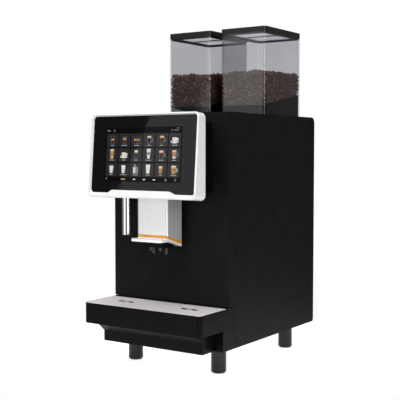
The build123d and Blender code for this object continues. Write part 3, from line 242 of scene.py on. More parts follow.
def rounded(x, y, width, height, corner, steps=4):
    """The outline of a rectangle about (x, y) with rounded corners."""
    points = []
    for turn, (side, up) in enumerate(((1, -1), (1, 1), (-1, 1), (-1, -1))):
        for step in range(steps + 1):
            angle = math.radians(90 * (turn - 1) + 90 * step / steps)
            points.append((x + side * (width / 2 - corner) + corner * math.cos(angle),
                           y + up * (height / 2 - corner) + corner * math.sin(angle)))
    return points


def oval(x, y, width, height, steps=20):
    """The outline of an ellipse about (x, y)."""
    return [(x + width / 2 * math.cos(math.tau * i / steps), y + height / 2 * math.sin(math.tau * i / steps))
            for i in range(steps)]


def joined(name, parts):
    """Join flat or solid parts in one new piece."""
    bpy.ops.object.select_all(action="DESELECT")
    for part in parts:
        part.select_set(True)
    bpy.context.view_layer.objects.active = parts[0]
    bpy.ops.object.join()
    parts[0].name = name
    parts[0].data.name = name
    return parts[0]


def settle(piece, place=None):
    """Move a piece to its place and leave its object at the origin, unturned and unscaled."""
    if place is not None:
        piece.matrix_world = place
    bpy.ops.object.select_all(action="DESELECT")
    piece.select_set(True)
    bpy.context.view_layer.objects.active = piece
    bpy.ops.object.transform_apply(location=True, rotation=True, scale=True)
    return piece


def printed(name, parts):
    """Join the shapes of one layer, give them the film's thickness and lay them on the glass."""
    piece = joined(name, parts)
    thick = piece.modifiers.new("film", "SOLIDIFY")
    thick.thickness = film
    thick.offset = 1.0
    bpy.ops.object.modifier_apply(modifier=thick.name)
    settle(piece, on_glass)
    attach(piece, "door")
    return piece


screen_black = glow("screen_black", (0.0009, 0.0009, 0.001), specular=0.06)
tile_grey = glow("tile_grey", (0.019, 0.019, 0.021))
bright = glow("screen_white", (0.78, 0.78, 0.78))
soft_grey = glow("screen_grey", (0.2, 0.2, 0.21))
caption_grey = glow("caption_grey", (0.36, 0.36, 0.37))
milk = glow("milk", (0.72, 0.7, 0.66))
foam = glow("foam", (0.72, 0.55, 0.36))
crema = glow("crema", (0.55, 0.28, 0.07))
coffee = glow("coffee", (0.018, 0.009, 0.005))
latte = glow("latte", (0.42, 0.2, 0.08))
chocolate = glow("chocolate", (0.085, 0.02, 0.016))
gold = glow("gold", (0.42, 0.3, 0.06))

tile_columns = 6
tile_rows = 3
tile_gap = 0.0025
side_margin = 0.0035
bar_top = 0.0150
tile_height = 0.0318
tile_width = (picture_width - 2 * side_margin - (tile_columns - 1) * tile_gap) / tile_columns


def tile_middle(column, row):
    """The middle of a tile, counted from the top left."""
    x = -picture_width / 2 + side_margin + tile_width / 2 + column * (tile_width + tile_gap)
    y = picture_height / 2 - bar_top - tile_height / 2 - row * (tile_height + tile_gap)
    return x, y


printed("screen_background", [flat(rounded(0, 0, picture_width, picture_height, 0.0008), 1, screen_black)])
printed("menu_tiles", [flat(rounded(*tile_middle(column, row), tile_width, tile_height, 0.0006), 2, tile_grey)
                       for row in range(tile_rows) for column in range(tile_columns)])


def band(x, low, high, width_low, width_high, height, material, bulge=0.0009):
    """A slice of a tapering glass, from low to high, with a rounded lower and upper rim."""
    steps = 6
    lower = [(x + width_low / 2 * math.cos(math.pi + math.pi * i / steps),
              low + bulge * math.sin(math.pi + math.pi * i / steps)) for i in range(steps + 1)]
    upper = [(x + width_high / 2 * math.cos(math.pi * i / steps),
              high + bulge * math.sin(math.pi * i / steps)) for i in range(steps + 1)]
    return flat(lower + upper, height, material)


def glass(x, y, tall, wide_low, wide_high, fills, rim=soft_grey):
    """A drinking glass: an outline with fills, each a material with its top as a share of the height."""
    parts = [band(x, y, y + tall, wide_low + 0.0012, wide_high + 0.0012, 3, rim)]
    parts.append(band(x, y + 0.0006, y + tall - 0.0002, wide_low, wide_high, 4, tile_grey))
    below = 0.04
    for material, top in fills:
        ends = [wide_low + (wide_high - wide_low) * share - 0.0008 for share in (below, top)]
        parts.append(band(x, y + tall * below, y + tall * top, *ends, 5, material))
        below = top
    return parts


def handle(x, y, size, material):
    """A ring beside a mug, most of it hidden by the mug."""
    return [flat(oval(x, y, size, size), 3, material),
            flat(oval(x, y, size * 0.55, size * 0.55), 4, tile_grey)]


def mug(x, y, tall, wide, fills, rim=soft_grey):
    """A glass mug with a handle on its right."""
    return handle(x + wide * 0.55, y + tall * 0.45, tall * 0.5, rim) + glass(
        x, y, tall, wide * 0.62, wide, fills, rim)


def cup_and_saucer(x, y):
    """A white china cup on its saucer, seen from a little above."""
    return [flat(oval(x - 0.0005, y + 0.0035, 0.0215, 0.0075), 3, milk),
            flat(oval(x - 0.0005, y + 0.0040, 0.0150, 0.0042), 4, soft_grey),
            band(x, y + 0.0035, y + 0.0115, 0.0085, 0.0150, 5, milk, 0.0022),
            flat(oval(x + 0.0082, y + 0.0090, 0.0048, 0.0052), 4, milk),
            flat(oval(x, y + 0.0118, 0.0142, 0.0038), 6, bright),
            flat(oval(x, y + 0.0118, 0.0105, 0.0024), 7, foam)]


black_and_crema = [(coffee, 0.45), (crema, 0.66)]
drinks = {
    (0, 0): lambda x, y: glass(x, y, 0.0165, 0.0062, 0.0105, black_and_crema),
    (1, 0): lambda x, y: glass(x, y, 0.0165, 0.0062, 0.0105, [(coffee, 0.52), (crema, 0.78)]),
    (2, 0): lambda x, y: (glass(x - 0.0042, y, 0.0150, 0.0055, 0.0090, black_and_crema)
                          + glass(x + 0.0042, y, 0.0150, 0.0055, 0.0090, black_and_crema)),
    (3, 0): lambda x, y: mug(x, y, 0.0170, 0.0118, [(coffee, 0.78), (foam, 0.96)]),
    (4, 0): lambda x, y: mug(x, y, 0.0170, 0.0118, [(coffee, 0.72), (crema, 0.84), (foam, 0.96)]),
    (5, 0): cup_and_saucer,
    (0, 1): lambda x, y: glass(x, y, 0.0205, 0.0062, 0.0108,
                               [(foam, 0.18), (latte, 0.8), (foam, 0.98)], foam),
    (1, 1): cup_and_saucer,
    (2, 1): lambda x, y: glass(x, y, 0.0180, 0.0075, 0.0105, [(coffee, 0.7), (crema, 0.8), (milk, 0.98)]),
    (3, 1): lambda x, y: glass(x, y, 0.0215, 0.0060, 0.0112, [(milk, 0.4), (coffee, 0.52), (latte, 0.66),
                                                              (milk, 0.98)], milk),
    (4, 1): lambda x, y: mug(x, y, 0.0180, 0.0125, [(coffee, 0.35), (chocolate, 0.72), (foam, 0.95)]),
    (5, 1): lambda x, y: mug(x, y, 0.0185, 0.0125, [(milk, 0.22), (latte, 0.8), (foam, 0.96)]),
    (0, 2): lambda x, y: glass(x, y, 0.0165, 0.0080, 0.0118, [(milk, 0.94)], milk),
    (1, 2): lambda x, y: glass(x, y, 0.0170, 0.0075, 0.0118, [(milk, 0.7), (bright, 0.98)], milk),
    (2, 2): lambda x, y: (glass(x - 0.0036, y, 0.0140, 0.0048, 0.0058, [(milk, 0.9)], milk)
                          + glass(x + 0.0036, y, 0.0140, 0.0048, 0.0058, [(soft_grey, 0.9)], milk)
                          + [band(x - 0.0022, y + 0.0150, y + 0.0195, 0.0010, 0.0024, 6, milk, 0.0003)]),
    (3, 2): lambda x, y: glass(x, y, 0.0190, 0.0085, 0.0120, [(milk, 0.78), (bright, 0.99)], milk),
    (4, 2): lambda x, y: glass(x, y, 0.0165, 0.0078, 0.0108, [(latte, 0.72), (foam, 0.95)], latte),
    (5, 2): lambda x, y: mug(x, y, 0.0175, 0.0128, [(latte, 0.82), (milk, 0.97)], foam),
}
cups = []
for (column, row), draw in drinks.items():
    x, y = tile_middle(column, row)
    cups += draw(x, y - 0.0075)
printed("menu_drinks", cups)

# Caption bars stand in for wording under each drink, and plain shapes for the status and control icons.
captions = []
for row in range(tile_rows):
    for column in range(tile_columns):
        x, y = tile_middle(column, row)
        width = 0.0095 + 0.0022 * ((column * 3 + row * 2) % 4)
        captions.append(flat(rounded(x, y - 0.0118, width, 0.0016, 0.0007), 3, caption_grey))
status_line = picture_height / 2 - bar_top / 2
control_line = -picture_height / 2 + 0.0062
icons = [flat(oval(-0.1050, status_line, 0.0060, 0.0040), 3, soft_grey),
         flat(rounded(-0.0995, status_line - 0.0008, 0.0030, 0.0030, 0.0008), 3, soft_grey),
         flat(rounded(-0.1045, control_line + 0.001, 0.0030, 0.0050, 0.0010), 3, soft_grey),
         flat(rounded(-0.0540, control_line, 0.0125, 0.0034, 0.0014), 3, gold),
         flat(oval(0.0700, control_line, 0.0062, 0.0062), 3, soft_grey),
         flat(oval(0.0700, control_line, 0.0028, 0.0028), 4, screen_black),
         flat(oval(0.0965, control_line, 0.0060, 0.0060), 3, soft_grey),
         flat(oval(0.0965, control_line, 0.0040, 0.0040), 4, screen_black),
         flat(rounded(0.0965, control_line + 0.0030, 0.0010, 0.0042, 0.0004), 5, soft_grey)]
for line in range(3):
    icons.append(flat(rounded(-0.0860, status_line + 0.0018 * (line - 1), 0.0056, 0.0007, 0.0003),
                      3, soft_grey))
for bar in range(4):
    tall = 0.0016 + 0.0010 * bar
    icons.append(flat(rounded(0.0790 + 0.0013 * bar, status_line - 0.0026 + tall / 2, 0.0008, tall, 0.0003),
                      3, soft_grey))
for x in (0.0890, 0.0925, 0.0960, 0.0995):
    icons.append(flat(rounded(x, status_line - 0.0010, 0.0026, 0.0022, 0.0005), 3, soft_grey))
for x in (0.0960, 0.1010):
    icons.append(flat(oval(x, status_line + 0.0036, 0.0028, 0.0024), 3, soft_grey))
for x in (-0.0210, 0.0080, 0.0370):
    icons.append(flat(rounded(x, control_line, 0.0066, 0.0024, 0.0009), 3, bright))
printed("menu_captions", captions)
printed("status_icons", icons)

# ---------------------------------------------------------------- screen panel and electronics
# The panel behind the glass is a boxed module, and the control board is green fibreglass with
# copper tracks under its lacquer.

board_green, tree, shader, place = finish("circuit_board", (0.02, 0.09, 0.04), 0.3, coat=0.3)
tracks = tree.nodes.new("ShaderNodeTexBrick")
tracks.inputs["Scale"].default_value = 160.0
tracks.inputs["Mortar Size"].default_value = 0.06
tree.links.new(place, tracks.inputs["Vector"])
tint(tree, shader, tracks.outputs["Fac"], [(0.0, (0.015, 0.08, 0.035)), (1.0, (0.12, 0.22, 0.08))])
dress(board_green, "control_board", "display_panel")

# ---------------------------------------------------------------- outlet head
# A satin silver cover slides on the door and ends in a glowing amber band over a white floor.
# Its face was brushed along its height before it was anodised.

satin_silver, tree, shader, place = finish("satin_silver", (0.72, 0.73, 0.74), 0.34, metallic=0.55)
brushing = noise(tree, place, 500.0, stretch=(1.0, 1.0, 0.02))
tint(tree, shader, brushing, [(0.3, (0.77, 0.77, 0.775)), (0.7, (0.84, 0.84, 0.845))])
span(tree, shader, brushing, 0.3, 0.4)
emboss(tree, shader, brushing, 0.00002, 0.2)
dress(satin_silver, "spout_cover")

amber_light, tree, shader, place = finish("amber_light", (0.56, 0.24, 0.025), 0.25, coat=0.3)
shader.inputs["Emission Strength"].default_value = 0.3
tint(tree, shader, noise(tree, place, 60.0), [(0.3, (0.42, 0.17, 0.012)), (0.7, (0.5, 0.23, 0.025))])
tint(tree, shader, noise(tree, place, 35.0), [(0.3, (0.55, 0.22, 0.012)), (0.7, (0.7, 0.32, 0.03))],
     "Emission Color")
dress(amber_light, "spout_band")

# ---------------------------------------------------------------- nozzles and hot-water tube
# The hot-water tube is drawn stainless steel, polished bright. The short nozzles under the outlet
# block are dull steel, stained slightly by coffee in cloudy patches.

polished, tree, shader, place = finish("polished_tube", (0.80, 0.80, 0.81), 0.09, metallic=1.0)
drawn = noise(tree, place, 700.0, stretch=(1.0, 1.0, 0.01))
span(tree, shader, drawn, 0.07, 0.13)
emboss(tree, shader, drawn, 0.00001, 0.15)
dress(polished, "hot_water_tube")
nozzle_steel, tree, shader, place = finish("nozzle_steel", (0.075, 0.073, 0.073), 0.4, metallic=1.0)
tint(tree, shader, noise(tree, place, 220.0), [(0.35, (0.05, 0.045, 0.042)), (0.65, (0.1, 0.098, 0.098))])
span(tree, shader, noise(tree, place, 300.0), 0.32, 0.5)
dress(nozzle_steel, "outlet_nozzles")

# ---------------------------------------------------------------- cup grid
# The cup grid is a stainless plate punched all over with round drain holes and turned down at its
# edges. Two S-shaped slots near its ends are finger holds for lifting it out.

grid_low, grid_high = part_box("cup_grid")
grid_thickness = 0.0012
hole_pitch = 0.0052
hole_radius = 0.0016
plain_border = 0.005
hole_sides = 6
row_pitch = hole_pitch * math.sqrt(3) / 2
hole_columns = int((grid_high.x - grid_low.x) / hole_pitch) + 3
hole_rows = int((grid_high.y - grid_low.y) / row_pitch / 2) + 2


def hexagon(radius, turn=30.0):
    """Six corners about the origin."""
    return [Vector((radius * math.cos(math.radians(60 * i + turn)),
                    radius * math.sin(math.radians(60 * i + turn)), 0.0)) for i in range(hole_sides)]


cell = bmesh.new()
for middle in (Vector((0.0, 0.0, 0.0)), Vector((hole_pitch / 2, row_pitch, 0.0))):
    outer = [cell.verts.new(middle + corner) for corner in hexagon(hole_pitch / math.sqrt(3))]
    inner = [cell.verts.new(middle + corner) for corner in hexagon(hole_radius)]
    for i in range(hole_sides):
        after = (i + 1) % hole_sides
        cell.faces.new((outer[i], outer[after], inner[after], inner[i]))
cell_mesh = bpy.data.meshes.new("cup_grid_plate")
cell.to_mesh(cell_mesh)
cell.free()
cup_grid_plate = bpy.data.objects.new("cup_grid_plate", cell_mesh)
bpy.context.scene.collection.objects.link(cup_grid_plate)
bpy.context.view_layer.objects.active = cup_grid_plate
cup_grid_plate.select_set(True)
for count, offset in ((hole_columns, (hole_pitch, 0.0, 0.0)), (hole_rows, (0.0, 2 * row_pitch, 0.0))):
    rows = cup_grid_plate.modifiers.new("rows", "ARRAY")
    rows.use_relative_offset = False
    rows.use_constant_offset = True
    rows.constant_offset_displace = offset
    rows.count = count
    rows.use_merge_vertices = True
    rows.merge_threshold = 0.0001
    bpy.ops.object.modifier_apply(modifier=rows.name)
settle(cup_grid_plate, Matrix.Translation((
    grid_low.x + plain_border - hole_pitch, grid_low.y + plain_border - row_pitch,
    grid_high.z - grid_thickness)))
field_low = Vector((grid_low.x + plain_border, grid_low.y + plain_border, 0.0))
field_high = Vector((grid_high.x - plain_border, grid_high.y - plain_border, 0.0))
bpy.ops.object.mode_set(mode="EDIT")
for point, normal in ((field_low, (-1, 0, 0)), (field_low, (0, -1, 0)),
                      (field_high, (1, 0, 0)), (field_high, (0, 1, 0))):
    bpy.ops.mesh.select_all(action="SELECT")
    bpy.ops.mesh.bisect(plane_co=point, plane_no=normal, clear_outer=True)
bpy.ops.object.mode_set(mode="OBJECT")

slot_length = 0.042
slot_half_width = 0.0062
slot_sway = 0.0028
slot_shares = (0.22, 0.78)  # of the grid's width
slot_setback = 0.58  # of the grid's depth, from its front
slot_places = [(grid_low.x + (grid_high.x - grid_low.x) * share,
                grid_low.y + (grid_high.y - grid_low.y) * slot_setback) for share in slot_shares]


def slot_line(along):
    """The S-shaped middle line of a finger slot, along from -1 to 1."""
    return Vector((along * slot_length / 2, slot_sway * math.sin(1.5 * math.pi * along), 0.0))


def slot_outline(x, y, growth, steps=30, end_steps=6):
    """The outline of a finger slot, grown outwards, anticlockwise."""
    right, left = [], []
    reach = slot_half_width + growth
    for i in range(steps + 1):
        along = -1 + 2 * i / steps
        ahead = slot_line(along + 0.01) - slot_line(along - 0.01)
        side = Vector((ahead.y, -ahead.x, 0.0)).normalized() * reach
        right.append(slot_line(along) + side)
        left.append(slot_line(along) - side)
    outline = list(right)
    for line, towards in ((right, 1.0), (left[::-1], -1.0)):
        middle = slot_line(towards)
        start = line[-1] - middle
        cap = [middle + Matrix.Rotation(math.pi * i / end_steps, 3, "Z") @ start for i in range(1, end_steps)]
        if towards > 0:
            outline += cap + left[::-1]
        else:
            outline += cap
    return [Vector((x + p.x, y + p.y, 0.0)) for p in outline]


def inside(point, outline):
    """True if the point lies inside the outline."""
    crossings = 0
    for a, b in zip(outline, outline[1:] + outline[:1]):
        if (a.y > point.y) != (b.y > point.y):
            if point.x < a.x + (point.y - a.y) * (b.x - a.x) / (b.y - a.y):
                crossings += 1
    return crossings % 2 == 1


opened = bmesh.new()
opened.from_mesh(cup_grid_plate.data)
for x, y in slot_places:
    clearing = slot_outline(x, y, 0.0008)
    doomed = [f for f in opened.faces
              if abs(f.calc_center_median().x - x) < 0.03 and inside(f.calc_center_median(), clearing)]
    bmesh.ops.delete(opened, geom=doomed, context="FACES")
opened.to_mesh(cup_grid_plate.data)
opened.free()
thick = cup_grid_plate.modifiers.new("sheet", "SOLIDIFY")
thick.thickness = grid_thickness
thick.offset = 1.0
bpy.context.view_layer.objects.active = cup_grid_plate
bpy.ops.object.modifier_apply(modifier=thick.name)

# The plain border follows the tray's round front corners and has a turned-down lip. A rounded rim
# is pressed round each finger slot.
edge_height = 0.006
front_corner = 0.0067
rear_corner = 0.001
outline = []
for x, y, radius, start in ((grid_high.x, grid_low.y, front_corner, -90),
                            (grid_high.x, grid_high.y, rear_corner, 0),
                            (grid_low.x, grid_high.y, rear_corner, 90),
                            (grid_low.x, grid_low.y, front_corner, 180)):
    centre = Vector((x - math.copysign(radius, x - grid_low.x - 0.01),
                     y - math.copysign(radius, y - grid_low.y - 0.01), grid_high.z))
    for i in range(7):
        angle = math.radians(start + 15 * i)
        outline.append(centre + radius * Vector((math.cos(angle), math.sin(angle), 0.0)))
sheet = bmesh.new()
top_ring = [sheet.verts.new(point) for point in outline]
foot_ring = [sheet.verts.new(point - Vector((0.0, 0.0, edge_height))) for point in outline]
inner_ring = []
for point in outline:
    spot = Vector((min(max(point.x, field_low.x), field_high.x),
                   min(max(point.y, field_low.y), field_high.y), grid_high.z))
    again = inner_ring and (inner_ring[-1].co - spot).length < 1e-6
    inner_ring.append(inner_ring[-1] if again else sheet.verts.new(spot))
for i in range(len(outline)):
    after = (i + 1) % len(outline)
    sheet.faces.new((foot_ring[i], foot_ring[after], top_ring[after], top_ring[i]))
    flat_face = [top_ring[i], top_ring[after], inner_ring[after]]
    sheet.faces.new(flat_face if inner_ring[i] is inner_ring[after] else flat_face + [inner_ring[i]])
border_mesh = bpy.data.meshes.new("border")
sheet.to_mesh(border_mesh)
sheet.free()
border = bpy.data.objects.new("border", border_mesh)
bpy.context.scene.collection.objects.link(border)
settle(border)
wall = border.modifiers.new("sheet", "SOLIDIFY")
wall.thickness = grid_thickness
wall.offset = -1.0
bpy.ops.object.modifier_apply(modifier=wall.name)
soften = border.modifiers.new("soften", "BEVEL")
soften.width = 0.0005
soften.segments = 2
soften.limit_method = "ANGLE"
bpy.ops.object.modifier_apply(modifier=soften.name)
rims = []
for x, y in slot_places:
    ring = bpy.data.curves.new("rim", "CURVE")
    ring.dimensions = "3D"
    ring.bevel_depth = 0.0006
    ring.bevel_resolution = 2
    line = ring.splines.new("POLY")
    outline = slot_outline(x, y, 0.0006)
    line.points.add(len(outline) - 1)
    for point, corner in zip(line.points, outline):
        point.co = (corner.x, corner.y, grid_high.z - 0.0006, 1.0)
    line.use_cyclic_u = True
    rim = bpy.data.objects.new("rim", ring)
    bpy.context.scene.collection.objects.link(rim)
    bpy.ops.object.select_all(action="DESELECT")
    rim.select_set(True)
    bpy.context.view_layer.objects.active = rim
    bpy.ops.object.convert(target="MESH")
    rims.append(bpy.context.object)
joined("cup_grid_plate", [cup_grid_plate, border, *rims])
grid_steel, tree, shader, place = finish("grid_steel", (0.9, 0.86, 0.86), 0.45, metallic=0.1)
brushing = noise(tree, place, 600.0, stretch=(0.03, 1.0, 1.0))
tint(tree, shader, brushing, [(0.3, (0.84, 0.79, 0.79)), (0.7, (0.93, 0.89, 0.89))])
span(tree, shader, brushing, 0.38, 0.5)
dress_slots = cup_grid_plate.data.materials
dress_slots.clear()
dress_slots.append(grid_steel)
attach(cup_grid_plate, "cup_grid")
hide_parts("cup_grid")

# ---------------------------------------------------------------- hoppers
# Each hopper is a clear box of smoke-tinted copolyester. Light passes straight through its thin
# walls, dimmed a little at each face, and the corners catch the lamps.


def clear_wall(name, passed, gloss=0.08):
    """A clear tinted plastic: each face passes this colour of light and mirrors more at a slant."""
    made = bpy.data.materials.new(name)
    made.use_nodes = True
    tree = made.node_tree
    tree.nodes.remove(tree.nodes["Principled BSDF"])
    see_through = tree.nodes.new("ShaderNodeBsdfTransparent")
    mirror = tree.nodes.new("ShaderNodeBsdfGlossy")
    mirror.inputs["Color"].default_value = (1.0, 1.0, 1.0, 1.0)
    mirror.inputs["Roughness"].default_value = gloss
    place = tree.nodes.new("ShaderNodeTexCoord").outputs["Object"]
    low = tuple(0.985 * part for part in passed)
    tint(tree, see_through, noise(tree, place, 14.0), [(0.3, low), (0.7, passed)], "Color")
    slant = tree.nodes.new("ShaderNodeLayerWeight")
    slant.inputs["Blend"].default_value = 0.5
    power = tree.nodes.new("ShaderNodeMath")
    power.operation = "POWER"
    power.inputs[1].default_value = 5.0
    tree.links.new(slant.outputs["Facing"], power.inputs[0])
    share = tree.nodes.new("ShaderNodeMapRange")
    share.inputs["To Min"].default_value = 0.035
    share.inputs["To Max"].default_value = 0.9
    tree.links.new(power.outputs["Value"], share.inputs["Value"])
    blend = tree.nodes.new("ShaderNodeMixShader")
    tree.links.new(share.outputs["Result"], blend.inputs["Fac"])
    tree.links.new(see_through.outputs["BSDF"], blend.inputs[1])
    tree.links.new(mirror.outputs["BSDF"], blend.inputs[2])
    tree.links.new(blend.outputs["Shader"], tree.nodes["Material Output"].inputs["Surface"])
    return made


smoked_wall = clear_wall("smoked_wall", (0.816, 0.814, 0.826))
dress(smoked_wall, "hopper_walls_left", "hopper_walls_right")
# The lids are the same black plastic as the mouldings, with a stronger gloss and a lighter base colour that
# is painted sheen.
lid_black_painted_sheen, tree, shader, place = finish("lid_black_painted_sheen", (0.009, 0.009, 0.0095), 0.3, specular=0.3)
tint(tree, shader, noise(tree, place, 24.0), [(0.35, (0.008, 0.008, 0.0085)), (0.65, (0.01, 0.01, 0.0105))])
span(tree, shader, noise(tree, place, 40.0), 0.27, 0.35)
dress(lid_black_painted_sheen, "hopper_lid_left", "hopper_lid_right")

# The lid windows are milky: they spread the light that falls on them from above.
window_pane, tree, shader, place = finish("window_pane", (0.6, 0.6, 0.62), 0.2)
tint(tree, shader, noise(tree, place, 14.0), [(0.3, (0.58, 0.58, 0.6)), (0.7, (0.62, 0.62, 0.64))])
milky = tree.nodes.new("ShaderNodeBsdfTranslucent")
milky.inputs["Color"].default_value = (0.86, 0.86, 0.9, 1.0)
blend = tree.nodes.new("ShaderNodeMixShader")
blend.inputs["Fac"].default_value = 0.75
tree.links.new(shader.outputs["BSDF"], blend.inputs[1])
tree.links.new(milky.outputs["BSDF"], blend.inputs[2])
tree.links.new(blend.outputs["Shader"], tree.nodes["Material Output"].inputs["Surface"])
dress(window_pane, "lid_windows_left", "lid_windows_right")

# ---------------------------------------------------------------- coffee beans
# Roasted beans lie as they fell: flat against the walls, in all directions on the uneven top.
# Each is an oval with one rounded side and one flat side that has a crease along its middle.

bean_length = 0.0102
bean_width = 0.0072
bean_depth = 0.0046
random.seed(11)
bpy.ops.mesh.primitive_uv_sphere_add(segments=8, ring_count=5, radius=0.5, location=(0.0, 0.0, 0.0),
                                     rotation=(0.0, math.pi / 2, 0.0))
bean = bpy.context.object
bean.scale = (bean_length, bean_width, bean_depth)
bpy.ops.object.transform_apply(location=False, rotation=True, scale=False)
bpy.ops.object.transform_apply(location=False, rotation=False, scale=True)
for vertex in bean.data.vertices:
    if vertex.co.z < 0:
        vertex.co.z *= 0.45
        if abs(vertex.co.y) < bean_width * 0.12 and abs(vertex.co.x) < bean_length * 0.42:
            vertex.co.z += bean_depth * 0.2
bean_points = [v.co.copy() for v in bean.data.vertices]
bean_faces = [tuple(f.vertices) for f in bean.data.polygons]
bpy.data.objects.remove(bean)

roast, tree, shader, place = finish("roasted_bean", (0.06, 0.03, 0.018), 0.42, specular=0.4)
shade = tree.nodes.new("ShaderNodeAttribute")
shade.attribute_name = "roast"
tint(tree, shader, shade.outputs["Fac"],
     [(0.0, (0.06, 0.031, 0.023)), (0.55, (0.175, 0.09, 0.065)), (1.0, (0.42, 0.22, 0.145))])
span(tree, shader, noise(tree, place, 400.0), 0.34, 0.52)
emboss(tree, shader, noise(tree, place, 900.0), 0.0003, 0.35)


def heap(name, solid, body):
    """Fill the space of a CAD bean solid with beans along its four sides and over its top."""
    low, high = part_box(solid)
    corners = [v.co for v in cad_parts[solid].data.vertices]
    floor_front = min(c.z for c in corners if c.y < low.y + 0.02)
    floor_rear = min(c.z for c in corners if c.y > high.y - 0.002)
    top_front = max(c.z for c in corners if c.y < low.y + 0.002)
    top_rear = high.z
    middle = (low + high) / 2

    def share(y):
        return (y - low.y) / (high.y - low.y)

    def floor(y):
        return floor_front + (floor_rear - floor_front) * share(y)

    def top(x, y):
        wave = 0.0022 * math.sin(x * 95.0 + middle.x * 40.0) + 0.0018 * math.sin(y * 70.0 + x * 30.0 + 1.0)
        return top_front + (top_rear - top_front) * share(y) - 0.0045 + wave

    spots = []
    pitch_along = 0.0079
    pitch_up = 0.0060
    inset = bean_depth * 0.5 + 0.0002
    sides = (("x", low.y + inset, 1.0), ("x", high.y - inset, -1.0),
             ("y", low.x + inset, 1.0), ("y", high.x - inset, -1.0))
    for axis, fixed, sign in sides:
        start, end = (low.x, high.x) if axis == "x" else (low.y, high.y)
        count = int((end - start) / pitch_along)
        for level in range(int((high.z - floor_front) / pitch_up) + 1):
            for i in range(count + 1):
                share_along = (i + 0.5 * (level % 2)) / (count + 0.5)
                along = start + inset + (end - start - 2 * inset) * share_along
                along += random.uniform(-0.0016, 0.0016)
                x, y = (along, fixed) if axis == "x" else (fixed, along)
                z = floor_front + 0.003 + level * pitch_up + random.uniform(-0.0014, 0.0014)
                if floor(y) + 0.002 < z < top(x, y) - 0.001:
                    spots.append((Vector((x, y, z)), axis, sign))
    for skin in range(2):
        columns = int((high.x - low.x - 2 * inset) / 0.0072)
        rows = int((high.y - low.y - 2 * inset) / 0.0072)
        for row in range(rows + 1):
            for column in range(columns + 1):
                x = low.x + inset + 0.0015 + (high.x - low.x - 2 * inset - 0.003) * column / columns
                y = low.y + inset + 0.0015 + (high.y - low.y - 2 * inset - 0.003) * row / rows
                x = min(max(x + random.uniform(-0.0022, 0.0022), low.x + 0.0042), high.x - 0.0042)
                y = min(max(y + random.uniform(-0.0022, 0.0022), low.y + 0.0042), high.y - 0.0042)
                z = top(x, y) - skin * 0.0036 + random.uniform(-0.0018, 0.0012)
                spots.append((Vector((x, y, min(z, high.z - 0.0028))), "z", 1.0))
    points, faces, roasts = [], [], []
    for spot, axis, sign in spots:
        spin = Matrix.Rotation(random.uniform(0.0, math.tau), 3, "Z")
        tip = (Matrix.Rotation(random.gauss(0.0, 0.42), 3, "X")
               @ Matrix.Rotation(random.gauss(0.0, 0.35), 3, "Y"))
        flip = Matrix.Rotation(math.pi if random.random() < 0.4 else 0.0, 3, "X")
        if axis == "x":
            lean = Matrix.Rotation(sign * math.pi / 2, 3, "X")
        elif axis == "y":
            lean = Matrix.Rotation(-sign * math.pi / 2, 3, "Y")
        else:
            lean = Matrix.Identity(3)
        size = random.uniform(0.88, 1.06)
        turn = lean @ tip @ spin @ flip
        tone = min(max(random.gauss(0.42, 0.24), 0.0), 1.0)
        first = len(points)
        for point in bean_points:
            placed = spot + turn @ (point * size)
            placed.x = min(max(placed.x, low.x), high.x)
            placed.y = min(max(placed.y, low.y), high.y)
            points.append(placed)
            roasts.append(tone)
        faces += [tuple(first + i for i in face) for face in bean_faces]
    mesh = bpy.data.meshes.new(name)
    mesh.from_pydata(points, [], faces)
    mesh.attributes.new("roast", "FLOAT", "POINT").data.foreach_set("value", roasts)
    mesh.materials.append(roast)
    mesh.polygons.foreach_set("use_smooth", [True] * len(faces))
    beans = bpy.data.objects.new(name, mesh)
    bpy.context.scene.collection.objects.link(beans)

    # The unseen middle of the heap is one closed block, a bean's depth inside the visible beans.
    inner = 0.0052
    bpy.ops.mesh.primitive_cube_add(size=1.0)
    core = bpy.context.object
    for vertex in core.data.vertices:
        y = high.y - inner if vertex.co.y > 0 else low.y + inner
        x = high.x - inner if vertex.co.x > 0 else low.x + inner
        z = top(x, y) - 0.0085 if vertex.co.z > 0 else floor(y) + 0.001
        vertex.co = (x, y, z)
    core.data.materials.append(roast)
    joined(name, [beans, core])
    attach(beans, body)
    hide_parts(solid)
    return beans


heap("bean_heap_left", "beans_left", "hopper_left")
heap("bean_heap_right", "beans_right", "hopper_right")

# ---------------------------------------------------------------- works inside
# Castings, the boiler, the pump, pipes and fittings keep the plain finishes of such parts:
# dark sand-cast housings, drawn stainless steel, machined brass and grey engineering plastic.

cast_metal, tree, shader, place = finish("cast_housing", (0.09, 0.09, 0.095), 0.55, metallic=0.7)
tint(tree, shader, noise(tree, place, 140.0), [(0.3, (0.07, 0.07, 0.075)), (0.7, (0.12, 0.12, 0.125))])
emboss(tree, shader, noise(tree, place, 500.0), 0.0003, 0.4)
dress(cast_metal, "grinder_left", "grinder_right", "pump")
machined, tree, shader, place = finish("machined_steel", (0.6, 0.6, 0.61), 0.28, metallic=1.0)
span(tree, shader, noise(tree, place, 320.0, stretch=(1.0, 1.0, 0.1)), 0.22, 0.36)
dress(machined, "burr_left", "burr_right", "boiler", "power_supply", "brew_piston")
brass, tree, shader, place = finish("machined_brass", (0.62, 0.44, 0.19), 0.3, metallic=1.0)
tint(tree, shader, noise(tree, place, 120.0), [(0.3, (0.55, 0.38, 0.15)), (0.7, (0.66, 0.49, 0.23))])
dress(brass, "water_inlet")
grey_plastic, tree, shader, place = finish("grey_plastic", (0.22, 0.225, 0.235), 0.45)
tint(tree, shader, noise(tree, place, 50.0), [(0.3, (0.2, 0.205, 0.215)), (0.7, (0.24, 0.245, 0.255))])
emboss(tree, shader, noise(tree, place, 1500.0), 0.00004, 0.3)
dress(grey_plastic, "brew_unit", "coffee_chutes", "drain_spigot", "mains_inlet")
fan_black, tree, shader, place = finish("fan_plastic", (0.015, 0.015, 0.016), 0.4)
span(tree, shader, noise(tree, place, 80.0), 0.34, 0.48)
